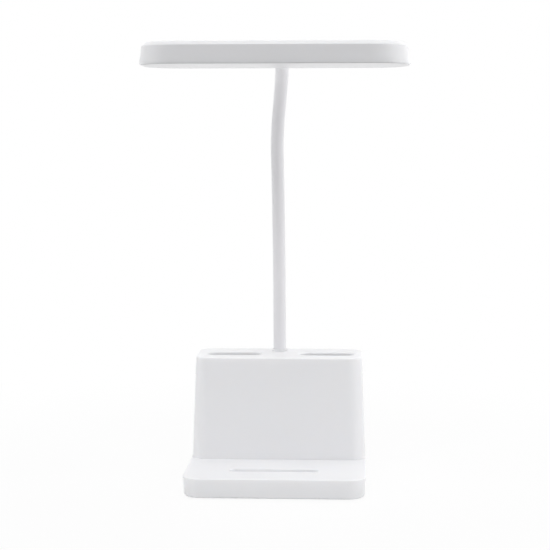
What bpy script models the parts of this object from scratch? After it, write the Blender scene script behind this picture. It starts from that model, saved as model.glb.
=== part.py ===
"""A white LED desk lamp: pen-holder base, gooseneck, wide thin head.

Metres, +Z up, the front towards -Y. The origin is the middle of the underside of the anti-slip mat.
"""
import math

import bmesh
import bpy
from mathutils import Matrix, Vector

# Clearances, how far joined shapes run into each other, and the flat left between two rounds
FIT_GAP = 0.0003
CUT_OVERRUN = 0.0020
JOIN_BITE = 0.0005
END_FLAT = 0.00005
MERGE_DISTANCE = 0.000005

# Base housing
BASE_WIDTH = 0.1180
BASE_DEPTH = 0.1060
BASE_WALL = 0.0022
BASE_CORNER_RADIUS = 0.0110
SHELF_HEIGHT = 0.0128
SHELF_DRAFT = 0.0008
SHELF_FOOT_RADIUS = 0.0013
BLOCK_DEPTH = 0.0460
BLOCK_HEIGHT = 0.0817
BLOCK_ROOT = 0.0012
BLOCK_STEP = 0.0004
BLOCK_CENTRE_X = 0.0002
BLOCK_SIDE_DRAFT = 0.0028
BLOCK_REAR_DRAFT = 0.0018
BLOCK_CORNER_RADIUS = 0.0090
BASE_EDGE_RADIUS = 0.0011

# Phone groove in the shelf
GROOVE_LENGTH = 0.0580
GROOVE_WIDTH = 0.0078
GROOVE_DEPTH = 0.0048
GROOVE_FROM_FRONT = 0.0270
GROOVE_CENTRE_X = -0.0009
GROOVE_WALL = 0.0014

# Pen wells in the block
WELL_LENGTH = 0.0374
WELL_WIDTH = 0.0143
WELL_FLOOR_HEIGHT = 0.0257
WELL_SPACING = 0.0630
WELL_FROM_REAR = 0.0243
WELLS_CENTRE_X = 0.0008
WELL_WALL = 0.0016

# Anti-slip mat and bottom cover
MAT_THICKNESS = 0.0010
MAT_PROUD = 0.0008
MAT_MARGIN = 0.0120
MAT_CORNER_RADIUS = 0.0055
COVER_THICKNESS = 0.0020
COVER_RECESS_MARGIN = 0.0004

# Screws that hold the bottom cover
BASE_SCREW_RADIUS = 0.0011
BASE_SCREW_LENGTH = 0.0080
BASE_SCREW_HEAD_RADIUS = 0.0024
BASE_SCREW_HEAD_HEIGHT = 0.0011
BASE_BOSS_RADIUS = 0.0034
BASE_BOSS_BITE = 0.0008
BASE_BOSS_FROM_EDGE = 0.0150
REAR_BOSS_HEIGHT = 0.0180

# Ballast under the shelf
BALLAST_THICKNESS = 0.0036
BALLAST_SIDE_MARGIN = 0.0120
BALLAST_END_GAP = 0.0015
BALLAST_CORNER_RADIUS = 0.0055

# Battery cell, lying across the block
CELL_RADIUS = 0.0092
CELL_LENGTH = 0.0650
CELL_EDGE_RADIUS = 0.0010
CELL_NUB_RADIUS = 0.0028
CELL_NUB_HEIGHT = 0.0012
CELL_FROM_BLOCK_FRONT = 0.0028
SADDLE_THICKNESS = 0.0060
SADDLE_SPACING = 0.0400
SADDLE_LIP = 0.0020
SADDLE_WALL = 0.0015

# Charging board at the rear
BOARD_LENGTH = 0.0600
BOARD_DEPTH = 0.0155
BOARD_THICKNESS = 0.0012
BOARD_STANDOFF_HEIGHT = 0.0024
BOARD_STANDOFF_RADIUS = 0.0022
BOARD_REAR_GAP = 0.0028
BOARD_CENTRE_X = 0.0060
BOARD_SCREW_RADIUS = 0.0009
BOARD_SCREW_HEAD_RADIUS = 0.0017
BOARD_SCREW_HEAD_HEIGHT = 0.0009
BOARD_SCREW_LENGTH = 0.0046
BOARD_SCREW_INSET = 0.0030

# Charging socket
SOCKET_WIDTH = 0.0090
SOCKET_HEIGHT = 0.0032
SOCKET_LENGTH = 0.0073
SOCKET_WALL = 0.0003
SOCKET_SETBACK = 0.0005
SOCKET_TONGUE_WIDTH = 0.0067
SOCKET_TONGUE_HEIGHT = 0.0007
SOCKET_TONGUE_SETBACK = 0.0010
SOCKET_BACK_THICKNESS = 0.0012

# Power button and its switch
BUTTON_X = 0.0200
BUTTON_RADIUS = 0.0030
BUTTON_PROUD = 0.0010
BUTTON_TRAVEL = 0.0008
BUTTON_FLANGE_RADIUS = 0.0040
BUTTON_FLANGE_THICKNESS = 0.0008
BUTTON_CLEARANCE = 0.0004
BUTTON_EDGE_RADIUS = 0.0005
SWITCH_WIDTH = 0.0070
SWITCH_DEPTH = 0.0050
PLUNGER_RADIUS = 0.0012
PLUNGER_BITE = 0.0020

# Charge light pipe
PIPE_X = -0.0140
PIPE_RADIUS = 0.0013
PIPE_LENGTH = 0.0064
PIPE_PROUD = 0.0002

# Chips on the charging board, each a width, a depth and a height
CHIP_SIZES = (
    (0.0050, 0.0050, 0.0012),
    (0.0040, 0.0040, 0.0030),
    (0.0030, 0.0016, 0.0010),
    (0.0030, 0.0016, 0.0010),
)
CHIP_PLACE_SHARES = ((-0.62, -0.10), (0.84, -0.10), (-0.30, -0.40), (0.10, -0.72))

# Neck
NECK_CENTRE_X = -0.0004
NECK_FROM_REAR = 0.0110
NECK_LENGTH = 0.2365
NECK_STEADY_SHARE = 0.4343
NECK_CURL_POWER = 6
NECK_SIDE_LEAN = 0.0056
NECK_SIDE_START_SHARE = 0.59
NECK_SIDE_END_SHARE = 0.94
SLEEVE_RADIUS = 0.0043
SLEEVE_BORE_RADIUS = 0.0033
CORE_RADIUS = 0.0030
NECK_JOINTS = 7
SOCKET_OFFSET = 0.0020
DOME_DEGREES = (14, 28)
CORE_DOME_REACH = 0.0020
CORE_IN_BASE = 0.0140
CORE_IN_HEAD = 0.0150
PATH_STEPS = 2000
NECK_POINT_PITCH = 0.0060
NECK_END_STRAIGHT = 0.0010

# Rings, washer and nut at the ends of the neck
COLLAR_RADIUS = 0.0053
COLLAR_TOP_RADIUS = 0.0050
COLLAR_HEIGHT = 0.0011
WASHER_RADIUS = 0.0060
WASHER_THICKNESS = 0.0010
NUT_ACROSS_CORNERS = 0.0115
NUT_HEIGHT = 0.0050
NUT_SIDES = 6

# Lamp head
HEAD_WIDTH = 0.1626
HEAD_DEPTH = 0.0600
HEAD_CORNER_RADIUS = 0.0240
HEAD_FACE_HEIGHT = 0.0108
HEAD_FACE_DRAFT = 0.0012
HEAD_TOP_BEVEL = 0.0024
HEAD_HOLLOW_BEVEL = 0.0012
HEAD_WALL = 0.0020
HEAD_LIP = 0.0011
HEAD_TILT = math.radians(1.63)
HEAD_CENTRE_X = -0.0019
NECK_ENTRY_HEIGHT = 0.0065

# Diffuser
DIFFUSER_THICKNESS = 0.0020
DIFFUSER_PROUD = 0.0005
DIFFUSER_EDGE_RADIUS = 0.0005

# LED board
LED_BOARD_SIDE_MARGIN = 0.0153
LED_BOARD_DEPTH = 0.0330
LED_BOARD_THICKNESS = 0.0010
LED_BOARD_FROM_REAR = 0.0200
LED_BOSS_HEIGHT = 0.0010
LED_BOSS_RADIUS = 0.0022
LED_SCREW_INSET = 0.0040
LED_COLUMNS = 10
LED_ROWS = 3
LED_LENGTH = 0.0035
LED_WIDTH = 0.0028
LED_HEIGHT = 0.0007
LED_FIELD_SHARE = 0.80

# Clamp that grips the neck in the head
CLAMP_THICKNESS = 0.0012
CLAMP_LENGTH = 0.0070
CLAMP_EAR_REACH = 0.0110
CLAMP_FROM_REAR = 0.0050
CLAMP_SCREW_X = 0.0082
CLAMP_BOSS_RADIUS = 0.0026

# Small screws in the head
HEAD_SCREW_RADIUS = 0.0008
HEAD_SCREW_HEAD_RADIUS = 0.0016
HEAD_SCREW_HEAD_HEIGHT = 0.0008
SCREW_HOLE_CLEARANCE = 0.0002

# Wires
LEAD_RADIUS = 0.0007
LEAD_POINT_PITCH = 0.0040
LEAD_SLACK = 0.0030
LEAD_ARCH = 0.0077

# Facets
ROUND_SIDES = 24
SMALL_SIDES = 12
NECK_BEVEL_RESOLUTION = 6
LEAD_BEVEL_RESOLUTION = 2
CORNER_STEPS = 6
EDGE_STEPS = 2

# Heights and depths worked out from the sizes above
RIM_Z = MAT_PROUD
FRONT_Y = -BASE_DEPTH / 2
REAR_Y = BASE_DEPTH / 2
SHELF_TOP_Z = RIM_Z + SHELF_HEIGHT
SHELF_CEILING_Z = SHELF_TOP_Z - BASE_WALL
BLOCK_TOP_Z = RIM_Z + BLOCK_HEIGHT
BLOCK_CEILING_Z = BLOCK_TOP_Z - BASE_WALL
BLOCK_FRONT_Y = REAR_Y - BLOCK_DEPTH
WELL_FLOOR_Z = RIM_Z + WELL_FLOOR_HEIGHT
COVER_TOP_Z = RIM_Z + COVER_THICKNESS
ON_COVER_Z = COVER_TOP_Z + FIT_GAP
SADDLE_HALF_DEPTH = CELL_RADIUS + FIT_GAP + SADDLE_WALL
REAR_INNER_Y = REAR_Y - BASE_WALL
BLOCK_INNER_Y = REAR_INNER_Y - BLOCK_STEP
FLANGE_REAR_Y = BLOCK_INNER_Y - FIT_GAP
FLANGE_FRONT_Y = FLANGE_REAR_Y - BUTTON_FLANGE_THICKNESS
SWITCH_REAR_Y = FLANGE_FRONT_Y - BUTTON_TRAVEL - BUTTON_CLEARANCE
BOARD_Z = COVER_TOP_Z + BOARD_STANDOFF_HEIGHT + FIT_GAP
ON_BOARD_Z = BOARD_Z + BOARD_THICKNESS + FIT_GAP
BOARD_CENTRE_Y = REAR_INNER_Y - BOARD_REAR_GAP - BOARD_DEPTH / 2
SOCKET_Z = ON_BOARD_Z + SOCKET_HEIGHT / 2
NECK_BASE = Vector((NECK_CENTRE_X, REAR_Y - NECK_FROM_REAR, BLOCK_TOP_Z))
END_LEAN = math.pi / 2 - HEAD_TILT
JOINT_PITCH = NECK_LENGTH / NECK_JOINTS

# Heights in the head's own frame, whose origin is where the neck enters
HEAD_RIM_Z = -NECK_ENTRY_HEIGHT
HEAD_TOP_Z = HEAD_RIM_Z + HEAD_FACE_HEIGHT + HEAD_TOP_BEVEL
HEAD_CEILING_Z = HEAD_TOP_Z - HEAD_WALL
FACE_SLOPE = HEAD_FACE_DRAFT / HEAD_FACE_HEIGHT
HEAD_REAR_Y = FACE_SLOPE * NECK_ENTRY_HEIGHT
HEAD_CENTRE_Y = HEAD_REAR_Y - HEAD_DEPTH / 2
DIFFUSER_BOTTOM_Z = HEAD_RIM_Z - DIFFUSER_PROUD
DIFFUSER_TOP_Z = DIFFUSER_BOTTOM_Z + DIFFUSER_THICKNESS
LED_BOARD_Z = HEAD_CEILING_Z - LED_BOSS_HEIGHT - FIT_GAP - LED_BOARD_THICKNESS
LED_BOARD_CENTRE_Y = HEAD_REAR_Y - LED_BOARD_FROM_REAR - LED_BOARD_DEPTH / 2
CLAMP_CENTRE_Y = HEAD_REAR_Y - CLAMP_FROM_REAR - CLAMP_LENGTH / 2
LED_BOARD_WIDTH = HEAD_WIDTH - 2 * LED_BOARD_SIDE_MARGIN


def clear_scene():
    for obj in list(bpy.data.objects):
        bpy.data.objects.remove(obj)


def new_collection(name):
    collection = bpy.data.collections.new(name)
    bpy.context.scene.collection.children.link(collection)
    return collection


def principled(name, colour, roughness, metallic=0.0):
    material = bpy.data.materials.new(name)
    material.use_nodes = True
    shader = material.node_tree.nodes["Principled BSDF"]
    shader.inputs["Base Color"].default_value = (*colour, 1.0)
    shader.inputs["Roughness"].default_value = roughness
    shader.inputs["Metallic"].default_value = metallic
    return material


def mesh_object(name, mesh, material=None):
    """An object in the parts collection, or a cutter when it has no material."""
    obj = bpy.data.objects.new(name, mesh)
    if material is None:
        CUTTERS.objects.link(obj)
        obj.hide_render = True
        obj.display_type = "WIRE"
    else:
        PARTS.objects.link(obj)
        mesh.materials.clear()
        mesh.materials.append(material)
    return obj


def finish_bmesh(name, bm, material=None):
    mesh = bpy.data.meshes.new(name)
    bm.to_mesh(mesh)
    bm.free()
    return mesh_object(name, mesh, material)


def block(name, size, centre, material=None):
    """A box of this size about this centre."""
    bm = bmesh.new()
    bmesh.ops.create_cube(bm, size=1.0, matrix=Matrix.Translation(centre) @ Matrix.Diagonal((*size, 1.0)))
    return finish_bmesh(name, bm, material)


def rounded_block(name, low, high, corner, top_inset=(0.0, 0.0, 0.0), top_edge=0.0, bottom_edge=0.0,
                  edge_steps=EDGE_STEPS, material=None):
    """A box with rounded upright edges, drawn in at the top by (sides, front, rear), its rims eased."""
    bm = bmesh.new()
    bmesh.ops.create_cube(bm, size=1.0)
    side, front, rear = top_inset
    for vert in bm.verts:
        at_top = vert.co.z > 0
        x = high[0] - side * at_top if vert.co.x > 0 else low[0] + side * at_top
        y = high[1] - rear * at_top if vert.co.y > 0 else low[1] + front * at_top
        vert.co = Vector((x, y, high[2] if at_top else low[2]))
    middle = (low[2] + high[2]) / 2
    upright = [e for e in bm.edges if (e.verts[0].co.z > middle) != (e.verts[1].co.z > middle)]
    bmesh.ops.bevel(bm, geom=upright, offset=corner, segments=CORNER_STEPS, profile=0.5, affect="EDGES",
                    clamp_overlap=True)
    for level, ease in ((high[2], top_edge), (low[2], bottom_edge)):
        if ease:
            bm.edges.ensure_lookup_table()
            rim = [e for e in bm.edges if all(abs(v.co.z - level) < MERGE_DISTANCE for v in e.verts)]
            bmesh.ops.bevel(bm, geom=rim, offset=ease, segments=edge_steps, profile=0.5, affect="EDGES",
                            clamp_overlap=True)
    return finish_bmesh(name, bm, material)


def cylinder(name, radius, low, high, axis="Z", sides=ROUND_SIDES, material=None):
    """A cylinder from one end's centre, low, to high along the axis."""
    bm = bmesh.new()
    quarter = math.pi / 2
    turns = {"X": Matrix.Rotation(quarter, 4, "Y"), "Y": Matrix.Rotation(quarter, 4, "X"), "Z": Matrix()}
    low, high = Vector(low), Vector(high)
    place = Matrix.Translation((low + high) / 2) @ turns[axis]
    bmesh.ops.create_cone(bm, cap_ends=True, segments=sides, radius1=radius, radius2=radius,
                          depth=(high - low).length, matrix=place)
    return finish_bmesh(name, bm, material)


def slot_block(name, length, width, low_z, high_z, centre, material=None):
    """An upright prism whose plan is a slot with round ends, long along X."""
    half = length / 2
    return rounded_block(name, (centre[0] - half, centre[1] - width / 2, low_z),
                         (centre[0] + half, centre[1] + width / 2, high_z), width / 2 - END_FLAT,
                         material=material)


def turned(name, profile, material, sides=ROUND_SIDES):
    """A profile of (radius, height) points, outer side from top to bottom, turned about Z."""
    mesh = bpy.data.meshes.new(name)
    points = [(radius, 0.0, height) for radius, height in profile]
    closed = profile[0][0] > 0
    edges = [(i, i + 1) for i in range(len(points) - 1)]
    if closed:
        edges.append((len(points) - 1, 0))
    mesh.from_pydata(points, edges, [])
    obj = mesh_object(name, mesh, material)
    screw = obj.modifiers.new("Turn", "SCREW")
    screw.steps = sides
    screw.render_steps = sides
    screw.use_merge_vertices = True
    screw.merge_threshold = MERGE_DISTANCE
    screw.use_smooth_shade = True
    return obj


def combine(target, tool, operation):
    modifier = target.modifiers.new(operation.title() + " " + tool.name, "BOOLEAN")
    modifier.operation = operation
    modifier.object = tool
    modifier.solver = "EXACT"


def cut(target, tool):
    combine(target, tool, "DIFFERENCE")


def join(target, tool):
    combine(target, tool, "UNION")


def apply_modifiers(obj):
    """The object keeps its finished mesh, and the shapes that it was cut and joined with go."""
    bpy.context.view_layer.update()
    tools = [modifier.object for modifier in obj.modifiers if modifier.type == "BOOLEAN"]
    evaluated = obj.evaluated_get(bpy.context.evaluated_depsgraph_get())
    mesh = bpy.data.meshes.new_from_object(evaluated)
    obj.modifiers.clear()
    obj.data = mesh
    for tool in tools:
        bpy.data.objects.remove(tool)


def smooth(obj, angle=math.radians(35)):
    obj.data.shade_smooth()
    obj.data.set_sharp_from_angle(angle=angle)


def neck_angle(share):
    """How far the neck leans from upright at this share of its length."""
    curled = NECK_STEADY_SHARE * share + (1.0 - NECK_STEADY_SHARE) * share**NECK_CURL_POWER
    return END_LEAN * curled


def neck_aside(share):
    """How far the neck has come to the side at this share of its length."""
    part = (share - NECK_SIDE_START_SHARE) / (NECK_SIDE_END_SHARE - NECK_SIDE_START_SHARE)
    part = min(max(part, 0.0), 1.0)
    return NECK_SIDE_LEAN * part**2 * (3.0 - 2.0 * part)


def neck_table():
    """Points along the neck's centre line, from the base's top to the head's rear."""
    points = [NECK_BASE.copy()]
    step = NECK_LENGTH / PATH_STEPS
    for i in range(PATH_STEPS):
        lean = neck_angle((i + 0.5) / PATH_STEPS)
        point = points[-1] + Vector((0.0, -math.sin(lean), math.cos(lean))) * step
        point.x = NECK_BASE.x + neck_aside((i + 1) / PATH_STEPS)
        points.append(point)
    return points


def neck_tangent(along):
    """The neck's direction in the plane that it mostly bends in."""
    lean = neck_angle(min(max(along / NECK_LENGTH, 0.0), 1.0))
    return Vector((0.0, -math.sin(lean), math.cos(lean)))


def neck_point(along):
    """The centre line at this length from the base's top; straight on past either end."""
    if along <= 0.0:
        return NECK_BASE + neck_tangent(0.0) * along
    if along >= NECK_LENGTH:
        return NECK_TABLE[-1] + neck_tangent(NECK_LENGTH) * (along - NECK_LENGTH)
    place = along / NECK_LENGTH * PATH_STEPS
    index = int(place)
    return NECK_TABLE[index].lerp(NECK_TABLE[index + 1], place - index)


def joint_along(number):
    """How far up the neck joint 1, 2, ... sits."""
    return JOINT_PITCH * (number - 0.5)


def mesh_of_curve(name, curve):
    """The closed mesh that a curve makes."""
    guide = bpy.data.objects.new(name + " guide", curve)
    bpy.context.scene.collection.objects.link(guide)
    bpy.context.view_layer.update()
    evaluated = guide.evaluated_get(bpy.context.evaluated_depsgraph_get())
    mesh = bpy.data.meshes.new_from_object(evaluated)
    bpy.data.objects.remove(guide)
    bm = bmesh.new()
    bm.from_mesh(mesh)
    bmesh.ops.remove_doubles(bm, verts=bm.verts, dist=MERGE_DISTANCE)
    bmesh.ops.recalc_face_normals(bm, faces=bm.faces)
    bm.to_mesh(mesh)
    bm.free()
    return mesh


def tube_mesh(name, stations, radius, bevel_resolution):
    """A closed tube mesh through (point, radius share) stations."""
    curve = bpy.data.curves.new(name, "CURVE")
    curve.dimensions = "3D"
    curve.bevel_depth = radius
    curve.bevel_resolution = bevel_resolution
    curve.use_fill_caps = True
    spline = curve.splines.new("POLY")
    spline.points.add(len(stations) - 1)
    for point, (place, share) in zip(spline.points, stations):
        point.co = (*place, 1.0)
        point.radius = share
    return mesh_of_curve(name, curve)


def neck_stations(start, end):
    """Evenly spread points of the neck between two lengths along it."""
    count = max(2, round((end - start) / NECK_POINT_PITCH))
    return [(neck_point(start + (end - start) * i / count), 1.0) for i in range(count + 1)]


def domed_stations(start, hinge):
    """A length of neck that ends in a dome about its hinge."""
    stations = neck_stations(start, hinge)
    direction = neck_tangent(hinge)
    for degrees in DOME_DEGREES:
        rise = SLEEVE_RADIUS * math.sin(math.radians(degrees))
        stations.append((neck_point(hinge) + direction * rise, math.cos(math.radians(degrees))))
    return stations


def make_base_housing():
    """The shelf's slab widens upwards; the block stands on it, drawn in towards its top."""
    half_width = BASE_WIDTH / 2
    foot = half_width - SHELF_DRAFT
    shell = rounded_block("base_housing", (-foot, FRONT_Y + SHELF_DRAFT, RIM_Z), (foot, REAR_Y, SHELF_TOP_Z),
                          BASE_CORNER_RADIUS, top_inset=(-SHELF_DRAFT, -SHELF_DRAFT, 0.0),
                          top_edge=BASE_EDGE_RADIUS, bottom_edge=SHELF_FOOT_RADIUS, material=WHITE)
    block_half = half_width - BLOCK_STEP
    upper = rounded_block("block body", (BLOCK_CENTRE_X - block_half, BLOCK_FRONT_Y, SHELF_TOP_Z - BLOCK_ROOT),
                          (BLOCK_CENTRE_X + block_half, REAR_Y - BLOCK_STEP, BLOCK_TOP_Z), BLOCK_CORNER_RADIUS,
                          top_inset=(BLOCK_SIDE_DRAFT, 0.0, BLOCK_REAR_DRAFT), top_edge=BASE_EDGE_RADIUS)
    join(shell, upper)
    hollow_base(shell, half_width, block_half)
    add_base_bosses(shell)
    cut_groove(shell)
    cut_wells(shell)
    low = NECK_BASE - Vector((0, 0, BASE_WALL + CUT_OVERRUN))
    high = NECK_BASE + Vector((0, 0, CUT_OVERRUN))
    cut(shell, cylinder("neck hole", CORE_RADIUS + FIT_GAP, low, high))
    cut_rear_openings(shell)
    apply_modifiers(shell)
    smooth(shell)


def hollow_base(shell, half_width, block_half):
    inner = half_width - BASE_WALL
    cut(shell, rounded_block("shelf hollow", (-inner, FRONT_Y + BASE_WALL, RIM_Z - CUT_OVERRUN),
                             (inner, REAR_INNER_Y, SHELF_CEILING_Z), BASE_CORNER_RADIUS - BASE_WALL))
    inner = block_half - BASE_WALL
    low_z = RIM_Z + SHELF_HEIGHT / 2
    cut(shell, rounded_block("block hollow", (BLOCK_CENTRE_X - inner, BLOCK_FRONT_Y + BASE_WALL, low_z),
                             (BLOCK_CENTRE_X + inner, BLOCK_INNER_Y, BLOCK_CEILING_Z),
                             BLOCK_CORNER_RADIUS - BASE_WALL,
                             top_inset=(BLOCK_SIDE_DRAFT, 0.0, BLOCK_REAR_DRAFT)))


def boss_places():
    x = BASE_WIDTH / 2 - BASE_WALL - BASE_BOSS_RADIUS + BASE_BOSS_BITE
    y = BASE_DEPTH / 2 - BASE_BOSS_FROM_EDGE
    return [(side * x, end * y) for end in (-1, 1) for side in (-1, 1)]


def add_base_bosses(shell):
    for number, (x, y) in enumerate(boss_places(), 1):
        top = SHELF_CEILING_Z + JOIN_BITE if y < 0 else ON_COVER_Z + REAR_BOSS_HEIGHT
        join(shell, cylinder(f"cover boss {number}", BASE_BOSS_RADIUS, (x, y, ON_COVER_Z), (x, y, top),
                             sides=SMALL_SIDES))
    for number, (x, y) in enumerate(boss_places(), 1):
        pilot_top = RIM_Z + BASE_SCREW_LENGTH + FIT_GAP
        cut(shell, cylinder(f"cover boss bore {number}", BASE_SCREW_RADIUS + SCREW_HOLE_CLEARANCE,
                            (x, y, ON_COVER_Z - CUT_OVERRUN), (x, y, pilot_top), sides=SMALL_SIDES))


def cut_groove(shell):
    centre = (GROOVE_CENTRE_X, FRONT_Y + GROOVE_FROM_FRONT)
    floor = SHELF_TOP_Z - GROOVE_DEPTH
    join(shell, slot_block("groove trough", GROOVE_LENGTH + 2 * GROOVE_WALL, GROOVE_WIDTH + 2 * GROOVE_WALL,
                           floor - GROOVE_WALL, SHELF_CEILING_Z + JOIN_BITE, centre))
    cut(shell, slot_block("groove", GROOVE_LENGTH, GROOVE_WIDTH, floor, SHELF_TOP_Z + CUT_OVERRUN, centre))


def cut_wells(shell):
    for side in (-1, 1):
        centre = (WELLS_CENTRE_X + side * WELL_SPACING / 2, REAR_Y - WELL_FROM_REAR)
        join(shell, slot_block(f"well jacket {side}", WELL_LENGTH + 2 * WELL_WALL, WELL_WIDTH + 2 * WELL_WALL,
                               WELL_FLOOR_Z - WELL_WALL, BLOCK_CEILING_Z + JOIN_BITE, centre))
        cut(shell, slot_block(f"well {side}", WELL_LENGTH, WELL_WIDTH, WELL_FLOOR_Z,
                              BLOCK_TOP_Z + CUT_OVERRUN, centre))


def cut_rear_openings(shell):
    wall_in, wall_out = REAR_INNER_Y - CUT_OVERRUN, REAR_Y + CUT_OVERRUN
    socket = rounded_block("socket opening", (-SOCKET_WIDTH / 2 - FIT_GAP, -SOCKET_HEIGHT / 2 - FIT_GAP, 0.0),
                           (SOCKET_WIDTH / 2 + FIT_GAP, SOCKET_HEIGHT / 2 + FIT_GAP, wall_out - wall_in),
                           SOCKET_HEIGHT / 2 + FIT_GAP - END_FLAT)
    facing_front = Matrix.Rotation(math.pi / 2, 4, "X")
    socket.data.transform(Matrix.Translation((0.0, wall_out, SOCKET_Z)) @ facing_front)
    cut(shell, socket)
    cut(shell, cylinder("button opening", BUTTON_RADIUS + BUTTON_CLEARANCE, (BUTTON_X, wall_in, SOCKET_Z),
                        (BUTTON_X, wall_out, SOCKET_Z), "Y"))
    cut(shell, cylinder("pipe opening", PIPE_RADIUS + FIT_GAP, (PIPE_X, wall_in, SOCKET_Z),
                        (PIPE_X, wall_out, SOCKET_Z), "Y", SMALL_SIDES))


def make_bottom_cover():
    half = Vector((BASE_WIDTH / 2 - BASE_WALL - FIT_GAP, BASE_DEPTH / 2 - BASE_WALL - FIT_GAP, 0.0))
    cover = rounded_block("bottom_cover", (-half.x, -half.y, RIM_Z), (half.x, half.y, COVER_TOP_Z),
                          BASE_CORNER_RADIUS - BASE_WALL - FIT_GAP, material=WHITE)
    recess = mat_half() + Vector((COVER_RECESS_MARGIN, COVER_RECESS_MARGIN))
    cut(cover, rounded_block("mat recess", (-recess.x, -recess.y, RIM_Z - CUT_OVERRUN),
                             (recess.x, recess.y, MAT_THICKNESS + FIT_GAP), MAT_CORNER_RADIUS))
    for number, (x, y) in enumerate(boss_places(), 1):
        low = (x, y, RIM_Z - CUT_OVERRUN)
        cut(cover, cylinder(f"cover screw hole {number}", BASE_SCREW_RADIUS + SCREW_HOLE_CLEARANCE, low,
                            (x, y, COVER_TOP_Z + CUT_OVERRUN), sides=SMALL_SIDES))
        cut(cover, cylinder(f"cover counterbore {number}", BASE_SCREW_HEAD_RADIUS + SCREW_HOLE_CLEARANCE, low,
                            (x, y, RIM_Z + BASE_SCREW_HEAD_HEIGHT + FIT_GAP), sides=SMALL_SIDES))
    add_cell_saddles(cover)
    for number, (x, y) in enumerate(board_screw_places(), 1):
        join(cover, cylinder(f"standoff {number}", BOARD_STANDOFF_RADIUS, (x, y, COVER_TOP_Z - JOIN_BITE),
                             (x, y, BOARD_Z - FIT_GAP), sides=SMALL_SIDES))
        cut(cover, cylinder(f"standoff bore {number}", BOARD_SCREW_RADIUS + SCREW_HOLE_CLEARANCE,
                            (x, y, BOARD_Z + BOARD_THICKNESS - BOARD_SCREW_LENGTH),
                            (x, y, BOARD_Z + CUT_OVERRUN), sides=SMALL_SIDES))
    apply_modifiers(cover)


def cell_centre():
    y = BLOCK_FRONT_Y + CELL_FROM_BLOCK_FRONT + CELL_RADIUS
    return Vector((0.0, y, ON_COVER_Z + CELL_RADIUS + FIT_GAP))


def add_cell_saddles(cover):
    centre = cell_centre()
    height = CELL_RADIUS - SADDLE_LIP
    for side in (-1, 1):
        x = side * SADDLE_SPACING / 2
        low_z = COVER_TOP_Z - JOIN_BITE
        join(cover, block(f"saddle {side}", (SADDLE_THICKNESS, 2 * SADDLE_HALF_DEPTH, height),
                          (x, centre.y, low_z + height / 2)))
    reach = SADDLE_SPACING / 2 + SADDLE_THICKNESS + CUT_OVERRUN
    cut(cover, cylinder("saddle bore", CELL_RADIUS + FIT_GAP, centre - Vector((reach, 0, 0)),
                        centre + Vector((reach, 0, 0)), "X"))


def mat_half():
    return Vector((BASE_WIDTH / 2 - MAT_MARGIN, BASE_DEPTH / 2 - MAT_MARGIN))


def make_mat():
    half = mat_half()
    rounded_block("anti_slip_mat", (-half.x, -half.y, 0.0), (half.x, half.y, MAT_THICKNESS),
                  MAT_CORNER_RADIUS, material=GREY_FOAM)


def make_screws(name, places, pointing, sizes):
    """Pan-head screws of one size; a place is the underside of a head, pointing is 1 up and -1 down."""
    shank_radius, head_radius, head_height, length = sizes
    profile = [(0.0, head_height), (head_radius, head_height), (head_radius, 0.0), (shank_radius, 0.0),
               (shank_radius, -length), (0.0, -length)]
    pattern = turned(name, profile, STEEL, SMALL_SIDES)
    apply_modifiers(pattern)
    mesh = pattern.data
    if pointing > 0:
        mesh.transform(Matrix.Rotation(math.pi, 4, "X"))
    screws = []
    for number, place in enumerate(places, 1):
        screws.append(mesh_object(f"{name}_{number}", mesh, STEEL))
        screws[-1].location = place
    bpy.data.objects.remove(pattern)
    return screws


def make_base_screws():
    places = [(x, y, RIM_Z + BASE_SCREW_HEAD_HEIGHT) for x, y in boss_places()]
    make_screws("base_screw", places, 1, (BASE_SCREW_RADIUS, BASE_SCREW_HEAD_RADIUS, BASE_SCREW_HEAD_HEIGHT,
                                          BASE_SCREW_LENGTH - BASE_SCREW_HEAD_HEIGHT))


def make_ballast():
    low_y = FRONT_Y + BASE_WALL + BALLAST_END_GAP
    high_y = cell_centre().y - SADDLE_HALF_DEPTH - BALLAST_END_GAP
    half = BASE_WIDTH / 2 - BALLAST_SIDE_MARGIN
    rounded_block("ballast_plate", (-half, low_y, ON_COVER_Z), (half, high_y, ON_COVER_Z + BALLAST_THICKNESS),
                  BALLAST_CORNER_RADIUS, material=STEEL)


def make_battery():
    half = CELL_LENGTH / 2
    edge = CELL_EDGE_RADIUS
    nub_top = half + CELL_NUB_HEIGHT
    profile = [(0.0, nub_top), (CELL_NUB_RADIUS, nub_top), (CELL_NUB_RADIUS, half),
               (CELL_RADIUS - edge, half), (CELL_RADIUS, half - edge), (CELL_RADIUS, edge - half),
               (CELL_RADIUS - edge, -half), (0.0, -half)]
    cell = turned("battery_cell", profile, CELL_WRAP)
    cell.rotation_euler = (0.0, math.pi / 2, 0.0)
    cell.location = cell_centre() - Vector((CELL_NUB_HEIGHT / 2, 0.0, 0.0))


def board_screw_places():
    half = BOARD_LENGTH / 2 - BOARD_SCREW_INSET
    y = BOARD_CENTRE_Y - BOARD_DEPTH / 2 + BOARD_SCREW_INSET
    return [(BOARD_CENTRE_X + side * half, y) for side in (-1, 1)]


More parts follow.
